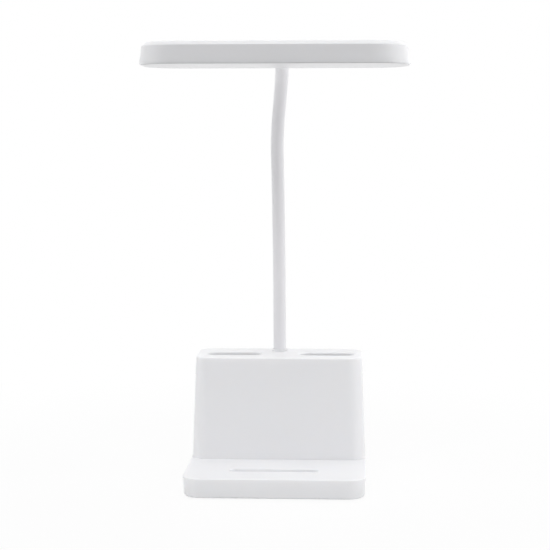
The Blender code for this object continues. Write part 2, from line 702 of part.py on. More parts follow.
def make_charging_board():
    """The board with its soldered chips, and its screws."""
    centre = (BOARD_CENTRE_X, BOARD_CENTRE_Y, BOARD_Z + BOARD_THICKNESS / 2)
    board = block("charging_board", (BOARD_LENGTH, BOARD_DEPTH, BOARD_THICKNESS), centre, CIRCUIT)
    places = board_screw_places()
    for number, (x, y) in enumerate(places, 1):
        cut(board, cylinder(f"board hole {number}", BOARD_SCREW_RADIUS + SCREW_HOLE_CLEARANCE,
                            (x, y, BOARD_Z - CUT_OVERRUN), (x, y, BOARD_Z + BOARD_THICKNESS + CUT_OVERRUN),
                            sides=SMALL_SIDES))
    for number, (size, shares) in enumerate(zip(CHIP_SIZES, CHIP_PLACE_SHARES), 1):
        x = BOARD_CENTRE_X + shares[0] * BOARD_LENGTH / 2
        y = BOARD_CENTRE_Y + shares[1] * (BOARD_DEPTH - size[1]) / 2
        top = BOARD_Z + BOARD_THICKNESS + size[2]
        foot = BOARD_Z + BOARD_THICKNESS - JOIN_BITE
        join(board, block(f"chip {number}", (size[0], size[1], top - foot), (x, y, (top + foot) / 2)))
    apply_modifiers(board)
    make_screws("board_screw", [(x, y, ON_BOARD_Z) for x, y in places], -1,
                (BOARD_SCREW_RADIUS, BOARD_SCREW_HEAD_RADIUS, BOARD_SCREW_HEAD_HEIGHT,
                 BOARD_SCREW_LENGTH - FIT_GAP * 2))


def make_usb_socket():
    half = Vector((SOCKET_WIDTH / 2, SOCKET_HEIGHT / 2))
    shell = rounded_block("usb_socket", (-half.x, -half.y, 0.0), (half.x, half.y, SOCKET_LENGTH),
                          half.y - END_FLAT, material=STEEL)
    mouth = half - Vector((SOCKET_WALL, SOCKET_WALL))
    cut(shell, rounded_block("socket mouth", (-mouth.x, -mouth.y, SOCKET_BACK_THICKNESS),
                             (mouth.x, mouth.y, SOCKET_LENGTH + CUT_OVERRUN), mouth.y - END_FLAT))
    low, high = SOCKET_BACK_THICKNESS - JOIN_BITE, SOCKET_LENGTH - SOCKET_TONGUE_SETBACK
    join(shell, block("socket tongue", (SOCKET_TONGUE_WIDTH, SOCKET_TONGUE_HEIGHT, high - low),
                      (0.0, 0.0, (low + high) / 2)))
    apply_modifiers(shell)
    back_y = REAR_Y - SOCKET_SETBACK - SOCKET_LENGTH
    shell.data.transform(Matrix.Translation((0.0, back_y, SOCKET_Z)) @ Matrix.Rotation(-math.pi / 2, 4, "X"))


def make_power_button():
    """The cap, its flange behind the wall and the plunger that it presses."""
    outer = REAR_Y + BUTTON_PROUD
    ease = BUTTON_EDGE_RADIUS
    profile = [(0.0, outer), (BUTTON_RADIUS - ease, outer), (BUTTON_RADIUS, outer - ease),
               (BUTTON_RADIUS, FLANGE_REAR_Y), (BUTTON_FLANGE_RADIUS, FLANGE_REAR_Y),
               (BUTTON_FLANGE_RADIUS, FLANGE_FRONT_Y), (0.0, FLANGE_FRONT_Y)]
    axis = bpy.data.objects.new("power_button_axis", None)
    PARTS.objects.link(axis)
    axis.location = (BUTTON_X, 0.0, SOCKET_Z)
    axis.rotation_euler = (-math.pi / 2, 0.0, 0.0)
    button = turned("power_button", profile, WHITE)
    button.parent = axis
    plunger_top = FLANGE_FRONT_Y - FIT_GAP
    plunger_foot = SWITCH_REAR_Y - PLUNGER_BITE
    plunger = cylinder("switch_plunger", PLUNGER_RADIUS, (0, 0, plunger_foot), (0, 0, plunger_top),
                       sides=SMALL_SIDES, material=BLACK)
    plunger.parent = axis


def make_switch_body():
    height = 2 * (SOCKET_Z - ON_BOARD_Z)
    body = block("switch_body", (SWITCH_WIDTH, SWITCH_DEPTH, height),
                 (BUTTON_X, SWITCH_REAR_Y - SWITCH_DEPTH / 2, SOCKET_Z), BLACK)
    bore_end = SWITCH_REAR_Y - PLUNGER_BITE - BUTTON_TRAVEL - BUTTON_CLEARANCE
    cut(body, cylinder("plunger bore", PLUNGER_RADIUS + SCREW_HOLE_CLEARANCE, (BUTTON_X, bore_end, SOCKET_Z),
                       (BUTTON_X, SWITCH_REAR_Y + CUT_OVERRUN, SOCKET_Z), "Y", SMALL_SIDES))
    apply_modifiers(body)


def make_light_pipe():
    outer = REAR_Y + PIPE_PROUD
    cylinder("charge_light_pipe", PIPE_RADIUS, (PIPE_X, outer - PIPE_LENGTH, SOCKET_Z),
             (PIPE_X, outer, SOCKET_Z), "Y", SMALL_SIDES, CLEAR)


def sleeve_stations(number):
    """Where a length of sleeve runs: from the base, from hinge to hinge, or to the head."""
    start = FIT_GAP if number == 1 else joint_along(number - 1) + SOCKET_OFFSET
    if number <= NECK_JOINTS:
        return domed_stations(start, joint_along(number))
    end = NECK_LENGTH - FIT_GAP - SLEEVE_RADIUS * FACE_SLOPE
    return [*neck_stations(start, end - NECK_END_STRAIGHT), (neck_point(end), 1.0)]


def core_ends(number):
    start = -CORE_IN_BASE if number == 1 else joint_along(number - 1) + SLEEVE_RADIUS + 2 * FIT_GAP
    end = NECK_LENGTH + CORE_IN_HEAD if number > NECK_JOINTS else joint_along(number) + CORE_DOME_REACH
    return start, end


def make_neck_length(number):
    """A length of sleeve ends in a dome about its hinge, and the next one's hollow end goes round it."""
    stations = sleeve_stations(number)
    start, end = core_ends(number)
    pivot = NECK_BASE if number == 1 else neck_point(joint_along(number - 1))
    sleeve = mesh_object(f"neck_sleeve_{number}",
                         tube_mesh("sleeve", stations, SLEEVE_RADIUS, NECK_BEVEL_RESOLUTION), SILICONE)
    bore = tube_mesh("sleeve bore", neck_stations(start - SLEEVE_RADIUS - CUT_OVERRUN, end + 2 * CUT_OVERRUN),
                     SLEEVE_BORE_RADIUS, NECK_BEVEL_RESOLUTION)
    cut(sleeve, mesh_object(f"sleeve bore {number}", bore))
    if number > 1:
        cut(sleeve, ball(f"neck socket {number}", SLEEVE_RADIUS + FIT_GAP, pivot))
    apply_modifiers(sleeve)
    smooth(sleeve)
    rod = tube_mesh("core", neck_stations(start, end), CORE_RADIUS, NECK_BEVEL_RESOLUTION)
    core = mesh_object(f"neck_core_{number}", rod, STEEL)
    set_origin(sleeve, pivot)
    set_origin(core, pivot)


def ball(name, radius, centre):
    bm = bmesh.new()
    bmesh.ops.create_uvsphere(bm, u_segments=ROUND_SIDES, v_segments=ROUND_SIDES // 2, radius=radius,
                              matrix=Matrix.Translation(centre))
    return finish_bmesh(name, bm)


def set_origin(obj, place):
    """The object's own zero moves to this place, and the shape stays."""
    obj.data.transform(Matrix.Translation(-place))
    obj.location = place


def collar_profile(height, foot):
    bore = SLEEVE_RADIUS + FIT_GAP
    ease = COLLAR_RADIUS - COLLAR_TOP_RADIUS
    return [(bore, height), (COLLAR_TOP_RADIUS, height), (COLLAR_RADIUS, ease), (COLLAR_RADIUS, foot),
            (bore, foot)]


def make_neck_fixings():
    lower = turned("neck_collar_lower", collar_profile(COLLAR_HEIGHT, 0.0), WHITE)
    lower.location = NECK_BASE + Vector((0.0, 0.0, FIT_GAP))
    bore = CORE_RADIUS + FIT_GAP
    washer_top = BLOCK_CEILING_Z - FIT_GAP
    washer = turned("neck_washer", [(bore, 0.0), (WASHER_RADIUS, 0.0), (WASHER_RADIUS, -WASHER_THICKNESS),
                                    (bore, -WASHER_THICKNESS)], STEEL)
    washer.location = (NECK_BASE.x, NECK_BASE.y, washer_top)
    nut_top = washer_top - WASHER_THICKNESS - FIT_GAP
    low, high = NECK_BASE.copy(), NECK_BASE.copy()
    low.z, high.z = nut_top - NUT_HEIGHT, nut_top
    nut = cylinder("neck_nut", NUT_ACROSS_CORNERS / 2, low, high, sides=NUT_SIDES, material=BRASS)
    overrun = Vector((0, 0, CUT_OVERRUN))
    cut(nut, cylinder("nut bore", bore, low - overrun, high + overrun))
    apply_modifiers(nut)


def head_empty():
    """The head's frame, hung on the last hinge: zero where the neck enters, the front edge tilted up."""
    hinge = bpy.data.objects.new("head_hinge", None)
    frame = bpy.data.objects.new("head_frame", None)
    PARTS.objects.link(hinge)
    PARTS.objects.link(frame)
    hinge.location = neck_point(joint_along(NECK_JOINTS))
    frame.parent = hinge
    frame.location = neck_point(NECK_LENGTH) - hinge.location
    frame.rotation_euler = (-HEAD_TILT, 0.0, 0.0)
    return frame


def head_block(name, inset, low_z, high_z, draft=0.0, top_edge=0.0, bottom_edge=0.0, edge_steps=1,
               material=None):
    """The head's plan drawn in all round by inset, between two heights."""
    x, y = HEAD_WIDTH / 2 - inset, HEAD_DEPTH / 2 - inset
    return rounded_block(name, (HEAD_CENTRE_X - x, HEAD_CENTRE_Y - y, low_z),
                         (HEAD_CENTRE_X + x, HEAD_CENTRE_Y + y, high_z),
                         HEAD_CORNER_RADIUS - inset, top_inset=(draft, draft, draft), top_edge=top_edge,
                         bottom_edge=bottom_edge, edge_steps=edge_steps, material=material)


def head_outside(name, growth, material=None):
    """The head's drafted and chamfered outer form, grown all round."""
    draft = FACE_SLOPE * (HEAD_TOP_Z - HEAD_RIM_Z)
    return head_block(name, -growth, HEAD_RIM_Z, HEAD_TOP_Z + growth, draft=draft, top_edge=HEAD_TOP_BEVEL,
                      material=material)


def make_head_housing():
    shell = head_outside("head_housing", 0.0, WHITE)
    cut(shell, head_block("diffuser seat", HEAD_LIP, HEAD_RIM_Z - CUT_OVERRUN, DIFFUSER_TOP_Z + FIT_GAP))
    cut(shell, head_block("head hollow", HEAD_LIP + HEAD_WALL, DIFFUSER_TOP_Z, HEAD_CEILING_Z,
                          top_edge=HEAD_HOLLOW_BEVEL))
    cut(shell, cylinder("neck entry", CORE_RADIUS + FIT_GAP, (0, HEAD_REAR_Y + CUT_OVERRUN, 0),
                        (0, HEAD_REAR_Y - HEAD_LIP - HEAD_WALL - CUT_OVERRUN, 0), "Y"))
    add_head_bosses(shell)
    apply_modifiers(shell)
    smooth(shell)
    return shell


def led_screw_places():
    x = LED_BOARD_WIDTH / 2 - LED_SCREW_INSET
    y = LED_BOARD_DEPTH / 2 - LED_SCREW_INSET
    return [(HEAD_CENTRE_X + side * x, LED_BOARD_CENTRE_Y + end * y) for end in (-1, 1) for side in (-1, 1)]


def add_head_bosses(shell):
    roof = HEAD_CEILING_Z + JOIN_BITE
    boss_foot = HEAD_CEILING_Z - LED_BOSS_HEIGHT
    for number, (x, y) in enumerate(led_screw_places(), 1):
        join(shell, cylinder(f"board boss {number}", LED_BOSS_RADIUS, (x, y, boss_foot), (x, y, roof),
                             sides=SMALL_SIDES))
        cut(shell, cylinder(f"board boss bore {number}", HEAD_SCREW_RADIUS + SCREW_HOLE_CLEARANCE,
                            (x, y, boss_foot - CUT_OVERRUN), (x, y, HEAD_CEILING_Z + FIT_GAP),
                            sides=SMALL_SIDES))
    rib_height = roof - FIT_GAP
    join(shell, block("clamp rib", (2 * CLAMP_SCREW_X, CLAMP_LENGTH, rib_height),
                      (0.0, CLAMP_CENTRE_Y, FIT_GAP + rib_height / 2)))
    for side in (-1, 1):
        x = side * CLAMP_SCREW_X
        join(shell, cylinder(f"clamp boss {side}", CLAMP_BOSS_RADIUS, (x, CLAMP_CENTRE_Y, FIT_GAP),
                             (x, CLAMP_CENTRE_Y, roof), sides=SMALL_SIDES))
        cut(shell, cylinder(f"clamp boss bore {side}", HEAD_SCREW_RADIUS + SCREW_HOLE_CLEARANCE,
                            (x, CLAMP_CENTRE_Y, -CUT_OVERRUN), (x, CLAMP_CENTRE_Y, HEAD_CEILING_Z),
                            sides=SMALL_SIDES))
    reach = CLAMP_LENGTH / 2 + CUT_OVERRUN
    cut(shell, cylinder("clamp rib bore", CORE_RADIUS + FIT_GAP, (0, CLAMP_CENTRE_Y - reach, 0),
                        (0, CLAMP_CENTRE_Y + reach, 0), "Y"))


def make_diffuser():
    inset = HEAD_LIP + FIT_GAP
    diffuser = head_block("diffuser", inset, DIFFUSER_BOTTOM_Z, DIFFUSER_TOP_Z,
                          bottom_edge=DIFFUSER_EDGE_RADIUS, edge_steps=EDGE_STEPS, material=OPAL)
    smooth(diffuser)
    return diffuser


def make_led_board():
    """The board with its soldered lamps, and its screws."""
    size = (LED_BOARD_WIDTH, LED_BOARD_DEPTH, LED_BOARD_THICKNESS)
    place = (HEAD_CENTRE_X, LED_BOARD_CENTRE_Y, LED_BOARD_Z + LED_BOARD_THICKNESS / 2)
    board = block("led_board", size, place, BOARD_WHITE)
    head_top = LED_BOARD_Z - FIT_GAP
    places = led_screw_places()
    for number, (x, y) in enumerate(places, 1):
        cut(board, cylinder(f"led board hole {number}", HEAD_SCREW_RADIUS + SCREW_HOLE_CLEARANCE,
                            (x, y, LED_BOARD_Z - CUT_OVERRUN), (x, y, HEAD_CEILING_Z), sides=SMALL_SIDES))
    low_z, high_z = LED_BOARD_Z - LED_HEIGHT, LED_BOARD_Z + JOIN_BITE
    for column in range(LED_COLUMNS):
        for row in range(LED_ROWS):
            x = HEAD_CENTRE_X + LED_BOARD_WIDTH * LED_FIELD_SHARE * (column / (LED_COLUMNS - 1) - 0.5)
            y = LED_BOARD_CENTRE_Y + LED_BOARD_DEPTH * LED_FIELD_SHARE * (row / (LED_ROWS - 1) - 0.5)
            join(board, block(f"led {column} {row}", (LED_LENGTH, LED_WIDTH, high_z - low_z),
                              (x, y, (high_z + low_z) / 2)))
    apply_modifiers(board)
    screws = make_screws("led_board_screw", [(x, y, head_top) for x, y in places], 1,
                         (HEAD_SCREW_RADIUS, HEAD_SCREW_HEAD_RADIUS, HEAD_SCREW_HEAD_HEIGHT,
                          HEAD_CEILING_Z - head_top))
    return [board, *screws]


def arc(radius, start, end, steps=SMALL_SIDES):
    """Points (x, z) on an arc about the neck's centre, angles in degrees."""
    angles = [math.radians(start + (end - start) * i / steps) for i in range(steps + 1)]
    return [(radius * math.cos(a), radius * math.sin(a)) for a in angles]


def clamp_outline():
    """The strap's section: two ears and the round under the neck."""
    inner = CORE_RADIUS + FIT_GAP
    outer = inner + CLAMP_THICKNESS
    turn = math.degrees(math.asin(CLAMP_THICKNESS / outer))
    outline = [(-CLAMP_EAR_REACH, 0.0), (-CLAMP_EAR_REACH, -CLAMP_THICKNESS)]
    outline += arc(outer, 180 + turn, 360 - turn)
    outline += [(CLAMP_EAR_REACH, -CLAMP_THICKNESS), (CLAMP_EAR_REACH, 0.0)]
    return outline + arc(inner, 360, 180)


def extruded_mesh(name, outline, depth):
    """A closed mesh of this flat outline, as deep as depth about its plane."""
    curve = bpy.data.curves.new(name, "CURVE")
    curve.dimensions = "2D"
    curve.fill_mode = "BOTH"
    curve.extrude = depth / 2
    spline = curve.splines.new("POLY")
    spline.points.add(len(outline) - 1)
    spline.use_cyclic_u = True
    for point, (x, z) in zip(spline.points, outline):
        point.co = (x, z, 0.0, 1.0)
    return mesh_of_curve(name, curve)


def make_neck_clamp():
    """A saddle strap under the neck, its two ears screwed to the housing."""
    mesh = extruded_mesh("clamp outline", clamp_outline(), CLAMP_LENGTH)
    mesh.transform(Matrix.Translation((0, CLAMP_CENTRE_Y, 0)) @ Matrix.Rotation(math.pi / 2, 4, "X"))
    clamp = mesh_object("neck_clamp", mesh, STEEL)
    for side in (-1, 1):
        x = side * CLAMP_SCREW_X
        cut(clamp, cylinder(f"clamp hole {side}", HEAD_SCREW_RADIUS + SCREW_HOLE_CLEARANCE,
                            (x, CLAMP_CENTRE_Y, -CLAMP_THICKNESS - CUT_OVERRUN),
                            (x, CLAMP_CENTRE_Y, CUT_OVERRUN), sides=SMALL_SIDES))
    apply_modifiers(clamp)
    places = [(side * CLAMP_SCREW_X, CLAMP_CENTRE_Y, -CLAMP_THICKNESS - FIT_GAP) for side in (-1, 1)]
    screws = make_screws("clamp_screw", places, 1, (HEAD_SCREW_RADIUS, HEAD_SCREW_HEAD_RADIUS,
                                                    HEAD_SCREW_HEAD_HEIGHT, HEAD_CEILING_Z))
    return [clamp, *screws]


def make_upper_collar():
    """Its foot follows the drafted rear face of the head."""
    collar = turned("neck_collar_upper", collar_profile(COLLAR_HEIGHT, -CUT_OVERRUN), WHITE)
    apply_modifiers(collar)
    collar.data.transform(Matrix.Rotation(-math.pi / 2, 4, "X"))
    cut(collar, head_outside("collar foot", FIT_GAP))
    apply_modifiers(collar)
    return collar


def smooth_route(points, pitch):
    """Points at an even pitch on a smooth curve through the given ones."""
    ends = [points[0] * 2 - points[1], *points, points[-1] * 2 - points[-2]]
    route = [points[0]]
    for a, b, c, d in zip(ends, ends[1:], ends[2:], ends[3:]):
        steps = max(2, round((c - b).length / pitch))
        for i in range(1, steps + 1):
            t = i / steps
            route.append(0.5 * (2 * b + (c - a) * t + (2 * a - 5 * b + 4 * c - d) * t**2
                                + (3 * b - a - 3 * c + d) * t**3))
    return route


def make_lead(name, points, material):
    stations = [(point, 1.0) for point in smooth_route([Vector(p) for p in points], LEAD_POINT_PITCH)]
    return mesh_object(name, tube_mesh(name, stations, LEAD_RADIUS, LEAD_BEVEL_RESOLUTION), material)


def make_leads():
    """Wires from the board to the neck and to the battery, lying clear of the housings."""
    on_board = ON_BOARD_Z + LEAD_RADIUS
    arch = on_board + LEAD_ARCH
    core_foot = NECK_BASE.z - CORE_IN_BASE - FIT_GAP
    make_lead("lamp_lead", [(NECK_BASE.x, BOARD_CENTRE_Y, on_board), (NECK_BASE.x, BOARD_CENTRE_Y, arch),
                            (NECK_BASE.x + LEAD_SLACK, NECK_BASE.y - LEAD_SLACK, (core_foot + arch) / 2),
                            (NECK_BASE.x, NECK_BASE.y, core_foot)], BLACK)
    board_x = BOARD_CENTRE_X - BOARD_LENGTH / 2
    centre = cell_centre()
    cell_end = -CELL_LENGTH / 2 - CELL_NUB_HEIGHT / 2 - FIT_GAP - LEAD_RADIUS
    make_lead("battery_lead", [(cell_end, centre.y, centre.z), (cell_end, centre.y + CELL_RADIUS, arch),
                               ((cell_end + board_x) / 2, BOARD_CENTRE_Y - BOARD_DEPTH / 2, arch),
                               (board_x + BOARD_SCREW_INSET, BOARD_CENTRE_Y, on_board)], RED)


def make_led_lead():
    core_tip = -CORE_IN_HEAD - FIT_GAP
    board_edge = HEAD_REAR_Y - LED_BOARD_FROM_REAR
    below = LED_BOARD_Z - FIT_GAP - LEAD_RADIUS
    return make_lead("led_lead", [(0.0, core_tip, 0.0), (0.0, (core_tip + board_edge) / 2, below / 2),
                                  (0.0, board_edge, below), (0.0, board_edge - LED_SCREW_INSET, below)],
                     BLACK)


def make_head():
    pieces = [make_head_housing(), make_diffuser(), make_upper_collar(), make_led_lead()]
    pieces += make_led_board() + make_neck_clamp()
    frame = head_empty()
    for piece in pieces:
        piece.parent = frame


def make_base():
    make_base_housing()
    make_bottom_cover()
    make_mat()
    make_base_screws()
    make_ballast()
    make_battery()
    make_charging_board()
    make_usb_socket()
    make_switch_body()
    make_power_button()
    make_light_pipe()
    make_leads()


clear_scene()
PARTS = new_collection("led_desk_lamp")
CUTTERS = new_collection("cutters")
CUTTERS.hide_render = True
WHITE = principled("White moulding", (0.86, 0.86, 0.87), 0.35)
SILICONE = principled("White sleeve", (0.84, 0.84, 0.85), 0.50)
OPAL = principled("Opal diffuser", (0.90, 0.90, 0.91), 0.30)
GREY_FOAM = principled("Grey foam mat", (0.25, 0.25, 0.26), 0.90)
STEEL = principled("Bright steel", (0.62, 0.62, 0.63), 0.35, 1.0)
BRASS = principled("Brass", (0.72, 0.55, 0.28), 0.35, 1.0)
CELL_WRAP = principled("Battery wrap", (0.10, 0.35, 0.60), 0.40)
CIRCUIT = principled("Green circuit board", (0.05, 0.25, 0.10), 0.45)
BOARD_WHITE = principled("White circuit board", (0.85, 0.85, 0.83), 0.40)
BLACK = principled("Black plastic", (0.03, 0.03, 0.03), 0.45)
RED = principled("Red insulation", (0.55, 0.04, 0.04), 0.45)
CLEAR = principled("Clear light pipe", (0.85, 0.88, 0.90), 0.15)
NECK_TABLE = neck_table()
make_base()
for length_number in range(1, NECK_JOINTS + 2):
    make_neck_length(length_number)
make_neck_fixings()
make_head()
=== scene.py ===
"""The visible pieces, finishes and stage of an LED desk lamp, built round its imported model.

Laid out as an add-on and run as a script. Metres, +Z up, the front towards -Y.
"""

import math

import bmesh
import bpy
from bpy.props import FloatProperty, FloatVectorProperty, IntProperty, PointerProperty
from mathutils import Matrix, Vector


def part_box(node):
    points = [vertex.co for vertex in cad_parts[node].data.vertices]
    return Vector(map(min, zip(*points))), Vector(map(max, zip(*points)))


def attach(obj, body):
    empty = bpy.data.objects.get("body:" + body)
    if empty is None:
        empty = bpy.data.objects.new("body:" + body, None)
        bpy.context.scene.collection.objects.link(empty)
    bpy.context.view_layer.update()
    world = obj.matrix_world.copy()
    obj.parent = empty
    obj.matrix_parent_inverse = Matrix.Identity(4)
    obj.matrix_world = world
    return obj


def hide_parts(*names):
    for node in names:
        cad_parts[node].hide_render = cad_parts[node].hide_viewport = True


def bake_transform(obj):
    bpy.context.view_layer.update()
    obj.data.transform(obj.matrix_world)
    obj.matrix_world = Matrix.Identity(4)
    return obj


bl_info = {
    "name": "LED Desk Lamp",
    "version": (1, 0, 0),
    "blender": (4, 5, 0),
    "location": "View3D > Sidebar > Desk Lamp",
    "description": "Builds the pieces, finishes and stage of a gooseneck LED desk lamp",
    "category": "Add Mesh",
}

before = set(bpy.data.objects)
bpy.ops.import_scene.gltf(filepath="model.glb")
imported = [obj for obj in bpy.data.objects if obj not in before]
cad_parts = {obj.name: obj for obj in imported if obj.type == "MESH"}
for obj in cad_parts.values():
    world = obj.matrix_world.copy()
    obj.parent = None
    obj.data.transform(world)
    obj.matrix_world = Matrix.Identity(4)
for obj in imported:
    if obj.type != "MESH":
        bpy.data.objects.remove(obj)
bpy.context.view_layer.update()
HOUSING_LOW, HOUSING_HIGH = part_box("base_housing")

NEAR = 0.00001  # two points or heights this close are the same
OVERRUN = 0.002  # how far a cutting shape reaches past the surface it cuts
LEVEL = 0.9  # a face lies level when its normal's Z is over this
SMOOTH_BELOW = math.radians(35.0)  # edges that turn by less are shaded round
QUARTER_TURN = math.pi / 2


def length(name, description, default):
    return FloatProperty(name=name, description=description, default=default, unit="LENGTH", precision=5)


def share(name, description, default):
    return FloatProperty(name=name, description=description, default=default, subtype="FACTOR")


def colour(name, description, default):
    return FloatVectorProperty(name=name, description=description, default=default, subtype="COLOR",
                               size=3, min=0.0, max=1.0)


class LampBaseSizes(bpy.types.PropertyGroup):
    width: length("Width", "Width of the base across the slab's top", 0.1180)
    depth: length("Depth", "Depth of the base from front to rear", 0.1060)
    foot: length("Foot", "Height of the slab's underside over the desk", HOUSING_LOW.z)
    top: length("Top", "Height of the block's top over the desk", HOUSING_HIGH.z)
    slab_height: length("Slab height", "Height of the phone shelf over the slab's underside", 0.0128)
    slab_draft: length("Slab draft", "How much the slab widens upwards at its front and sides", 0.0008)
    slab_foot: length("Slab foot", "Radius of the slab's lower edge", 0.0013)
    slab_corner: length("Slab corner", "Radius of the slab's upright corners", 0.0110)
    block_depth: length("Block depth", "Depth of the pen block from front to rear", 0.0460)
    block_step: length("Block step", "How far the block stands in from the slab", 0.0004)
    block_root: length("Block root", "How far the block reaches down into the slab", 0.0012)
    block_x: length("Block place", "Sideways place of the block's middle", 0.0002)
    block_corner: length("Block corner", "Radius of the block's upright corners", 0.0090)
    side_draft: length("Side draft", "How far each side leans in over the block's height", 0.0028)
    rear_draft: length("Rear draft", "How far the rear leans in over the block's height", 0.0018)
    edge: length("Edge", "Radius of the outer edges", 0.0005)
    wall: length("Wall", "Thickness of the moulded wall", 0.0022)
    mat_corner: length("Mat corner", "Radius of the foam mat's corners", 0.0055)
    mat_edge: length("Mat edge", "Radius of the foam mat's lower edge", 0.0003)


class LampWellSizes(bpy.types.PropertyGroup):
    length: length("Length", "Length of a pen well across the block", 0.0374)
    width: length("Width", "Width of a pen well from front to rear", 0.0143)
    floor: length("Floor", "Height of a pen well's floor over the desk", 0.0265)
    spacing: length("Spacing", "Distance between the centres of the pen wells", 0.0630)
    centre_x: length("Centre", "Sideways place of the middle between the wells", 0.0008)
    from_rear: length("From rear", "Distance of the wells' centres from the base's rear", 0.0243)
    wall: length("Wall", "Wall thickness round a well", 0.0016)
    mouth: length("Mouth", "Radius at the mouth of a pen well", 0.0016)
    groove_length: length("Groove length", "Length of the phone groove", 0.0580)
    groove_width: length("Groove width", "Width of the phone groove", 0.0078)
    groove_depth: length("Groove depth", "Depth of the phone groove", 0.0048)
    groove_from_front: length("Groove from front", "Distance of the groove's centre from the front", 0.0270)
    groove_centre_x: length("Groove centre", "Sideways place of the groove's centre", -0.0009)
    groove_wall: length("Groove wall", "Wall thickness round the groove", 0.0014)
    groove_mouth: length("Groove mouth", "Radius at the mouth of the groove", 0.0005)


class LampFittingSizes(bpy.types.PropertyGroup):
    height: length("Height", "Height of the rear fittings over the desk", 0.0086)
    gap: length("Gap", "Clearance round a fitting", 0.0003)
    socket_width: length("Socket width", "Outer width of the charging socket", 0.0090)
    socket_height: length("Socket height", "Outer height of the charging socket", 0.0032)
    socket_wall: length("Socket wall", "Wall thickness of the charging socket's shell", 0.0003)
    socket_length: length("Socket length", "Length of the charging socket", 0.0073)
    socket_back: length("Socket back", "Thickness of the charging socket's back", 0.0012)
    socket_setback: length("Socket setback", "How far the socket's mouth lies behind the rear face", 0.0005)
    tongue_width: length("Tongue width", "Width of the contact tongue", 0.0067)
    tongue_height: length("Tongue height", "Thickness of the contact tongue", 0.0007)
    button_x: length("Button place", "Sideways place of the power button", 0.0200)
    button_radius: length("Button radius", "Radius of the power button", 0.0030)
    button_flange: length("Button flange", "Thickness of the flange behind the button", 0.0008)
    button_edge: length("Button edge", "Radius of the power button's edge", 0.0005)
    button_dish: length("Button dish", "Depth of the finger dish in the power button", 0.0003)
    pipe_x: length("Light pipe place", "Sideways place of the charge light", -0.0140)
    pipe_radius: length("Light pipe radius", "Radius of the charge light", 0.0013)
    pipe_edge: length("Light pipe edge", "Radius of the charge light's edge", 0.0003)
    screw_radius: length("Screw head radius", "Radius of a cover screw's head", 0.0024)
    screw_head: length("Screw head", "Height of a cover screw's head", 0.0011)
    screw_shank: length("Screw shank", "Radius of a cover screw's shank", 0.0011)
    screw_slot: length("Screw slot", "Width of the cross in a cover screw's head", 0.0007)


class LampNeckSizes(bpy.types.PropertyGroup):
    x: length("Foot place X", "Sideways place of the neck's foot", -0.0004)
    y: length("Foot place Y", "Place of the neck's foot from the middle to the rear", 0.0420)
    length: length("Length", "Length of the neck from the block to the head", 0.2365)
    steady_share: share("Steady bend", "Share of the lean that grows evenly", 0.4343)
    curl_power: IntProperty(name="Curl", description="How late the rest of the lean comes", default=6)
    side_lean: length("Side lean", "How far the neck comes to the side", 0.0056)
    side_start: share("Side start", "Where along the neck the side lean starts", 0.59)
    side_end: share("Side end", "Where along the neck the side lean ends", 0.94)
    sleeve_radius: length("Sleeve radius", "Outer radius of the sleeve", 0.0043)
    sleeve_wall: length("Sleeve wall", "Wall thickness of the sleeve", 0.0010)
    head_gap: length("Gap at the head", "Distance of the sleeve's end from the head", 0.00075)
    coil_radius: length("Coil radius", "Outer radius of the wound core", 0.0030)
    coil_pitch: length("Coil pitch", "Distance from one turn of the wound core to the next", 0.0012)
    in_base: length("Length in base", "How far the core reaches into the base", 0.0140)
    in_head: length("Length in head", "How far the core reaches into the head", 0.0150)
    collar_radius: length("Collar radius", "Outer radius of the end rings", 0.0053)
    collar_height: length("Collar height", "Height of the end rings", 0.0011)
    collar_edge: length("Collar edge", "Radius of the end rings' outer edge", 0.00088)
    ring_pitch: length("Ring pitch", "Distance between two rings of faces on the sleeve", 0.0014)
    lengths: IntProperty(name="Lengths", description="Number of lengths that bend", default=7)


class LampHeadSizes(bpy.types.PropertyGroup):
    width: length("Width", "Width of the lamp head", 0.1626)
    depth: length("Depth", "Depth of the lamp head from front to rear", 0.0600)
    corner: length("Corner", "Radius of the head's corners", 0.0240)
    face_height: length("Face height", "Height of the upright face", 0.0108)
    face_draft: length("Face draft", "How far the upright face leans in over its height", 0.0012)
    bevel: length("Bevel", "Width of the bevel round the top", 0.0024)
    bevel_round: length("Bevel round", "Radius along the two edges of the bevel", 0.0004)
    step_height: length("Step height", "Height of the shadow step along the rim", 0.0004)
    step_depth: length("Step depth", "How far the shadow step stands in", 0.0004)
    wall: length("Wall", "Thickness of the moulded wall", 0.0020)
    lip: length("Lip", "Thickness of the lip round the diffuser", 0.0011)
    centre_x: length("Centre", "Sideways place of the head's middle from the neck", -0.0019)
    entry_height: length("Entry height", "Height of the neck's entry over the rim", 0.0065)
    tilt: FloatProperty(name="Tilt", description="How far the front edge points up", subtype="ANGLE",
                        default=math.radians(1.63))
    diffuser_thickness: length("Diffuser thickness", "Thickness of the diffuser", 0.0020)
    diffuser_proud: length("Diffuser proud", "How far the diffuser stands out below the rim", 0.0005)
    diffuser_edge: length("Diffuser edge", "Radius of the diffuser's lower edge", 0.0003)
    gap: length("Gap", "Gap between the diffuser and the lip", 0.0003)
    board_drop: length("LED board", "Distance from the ceiling to the LED board's lower face", 0.0024)


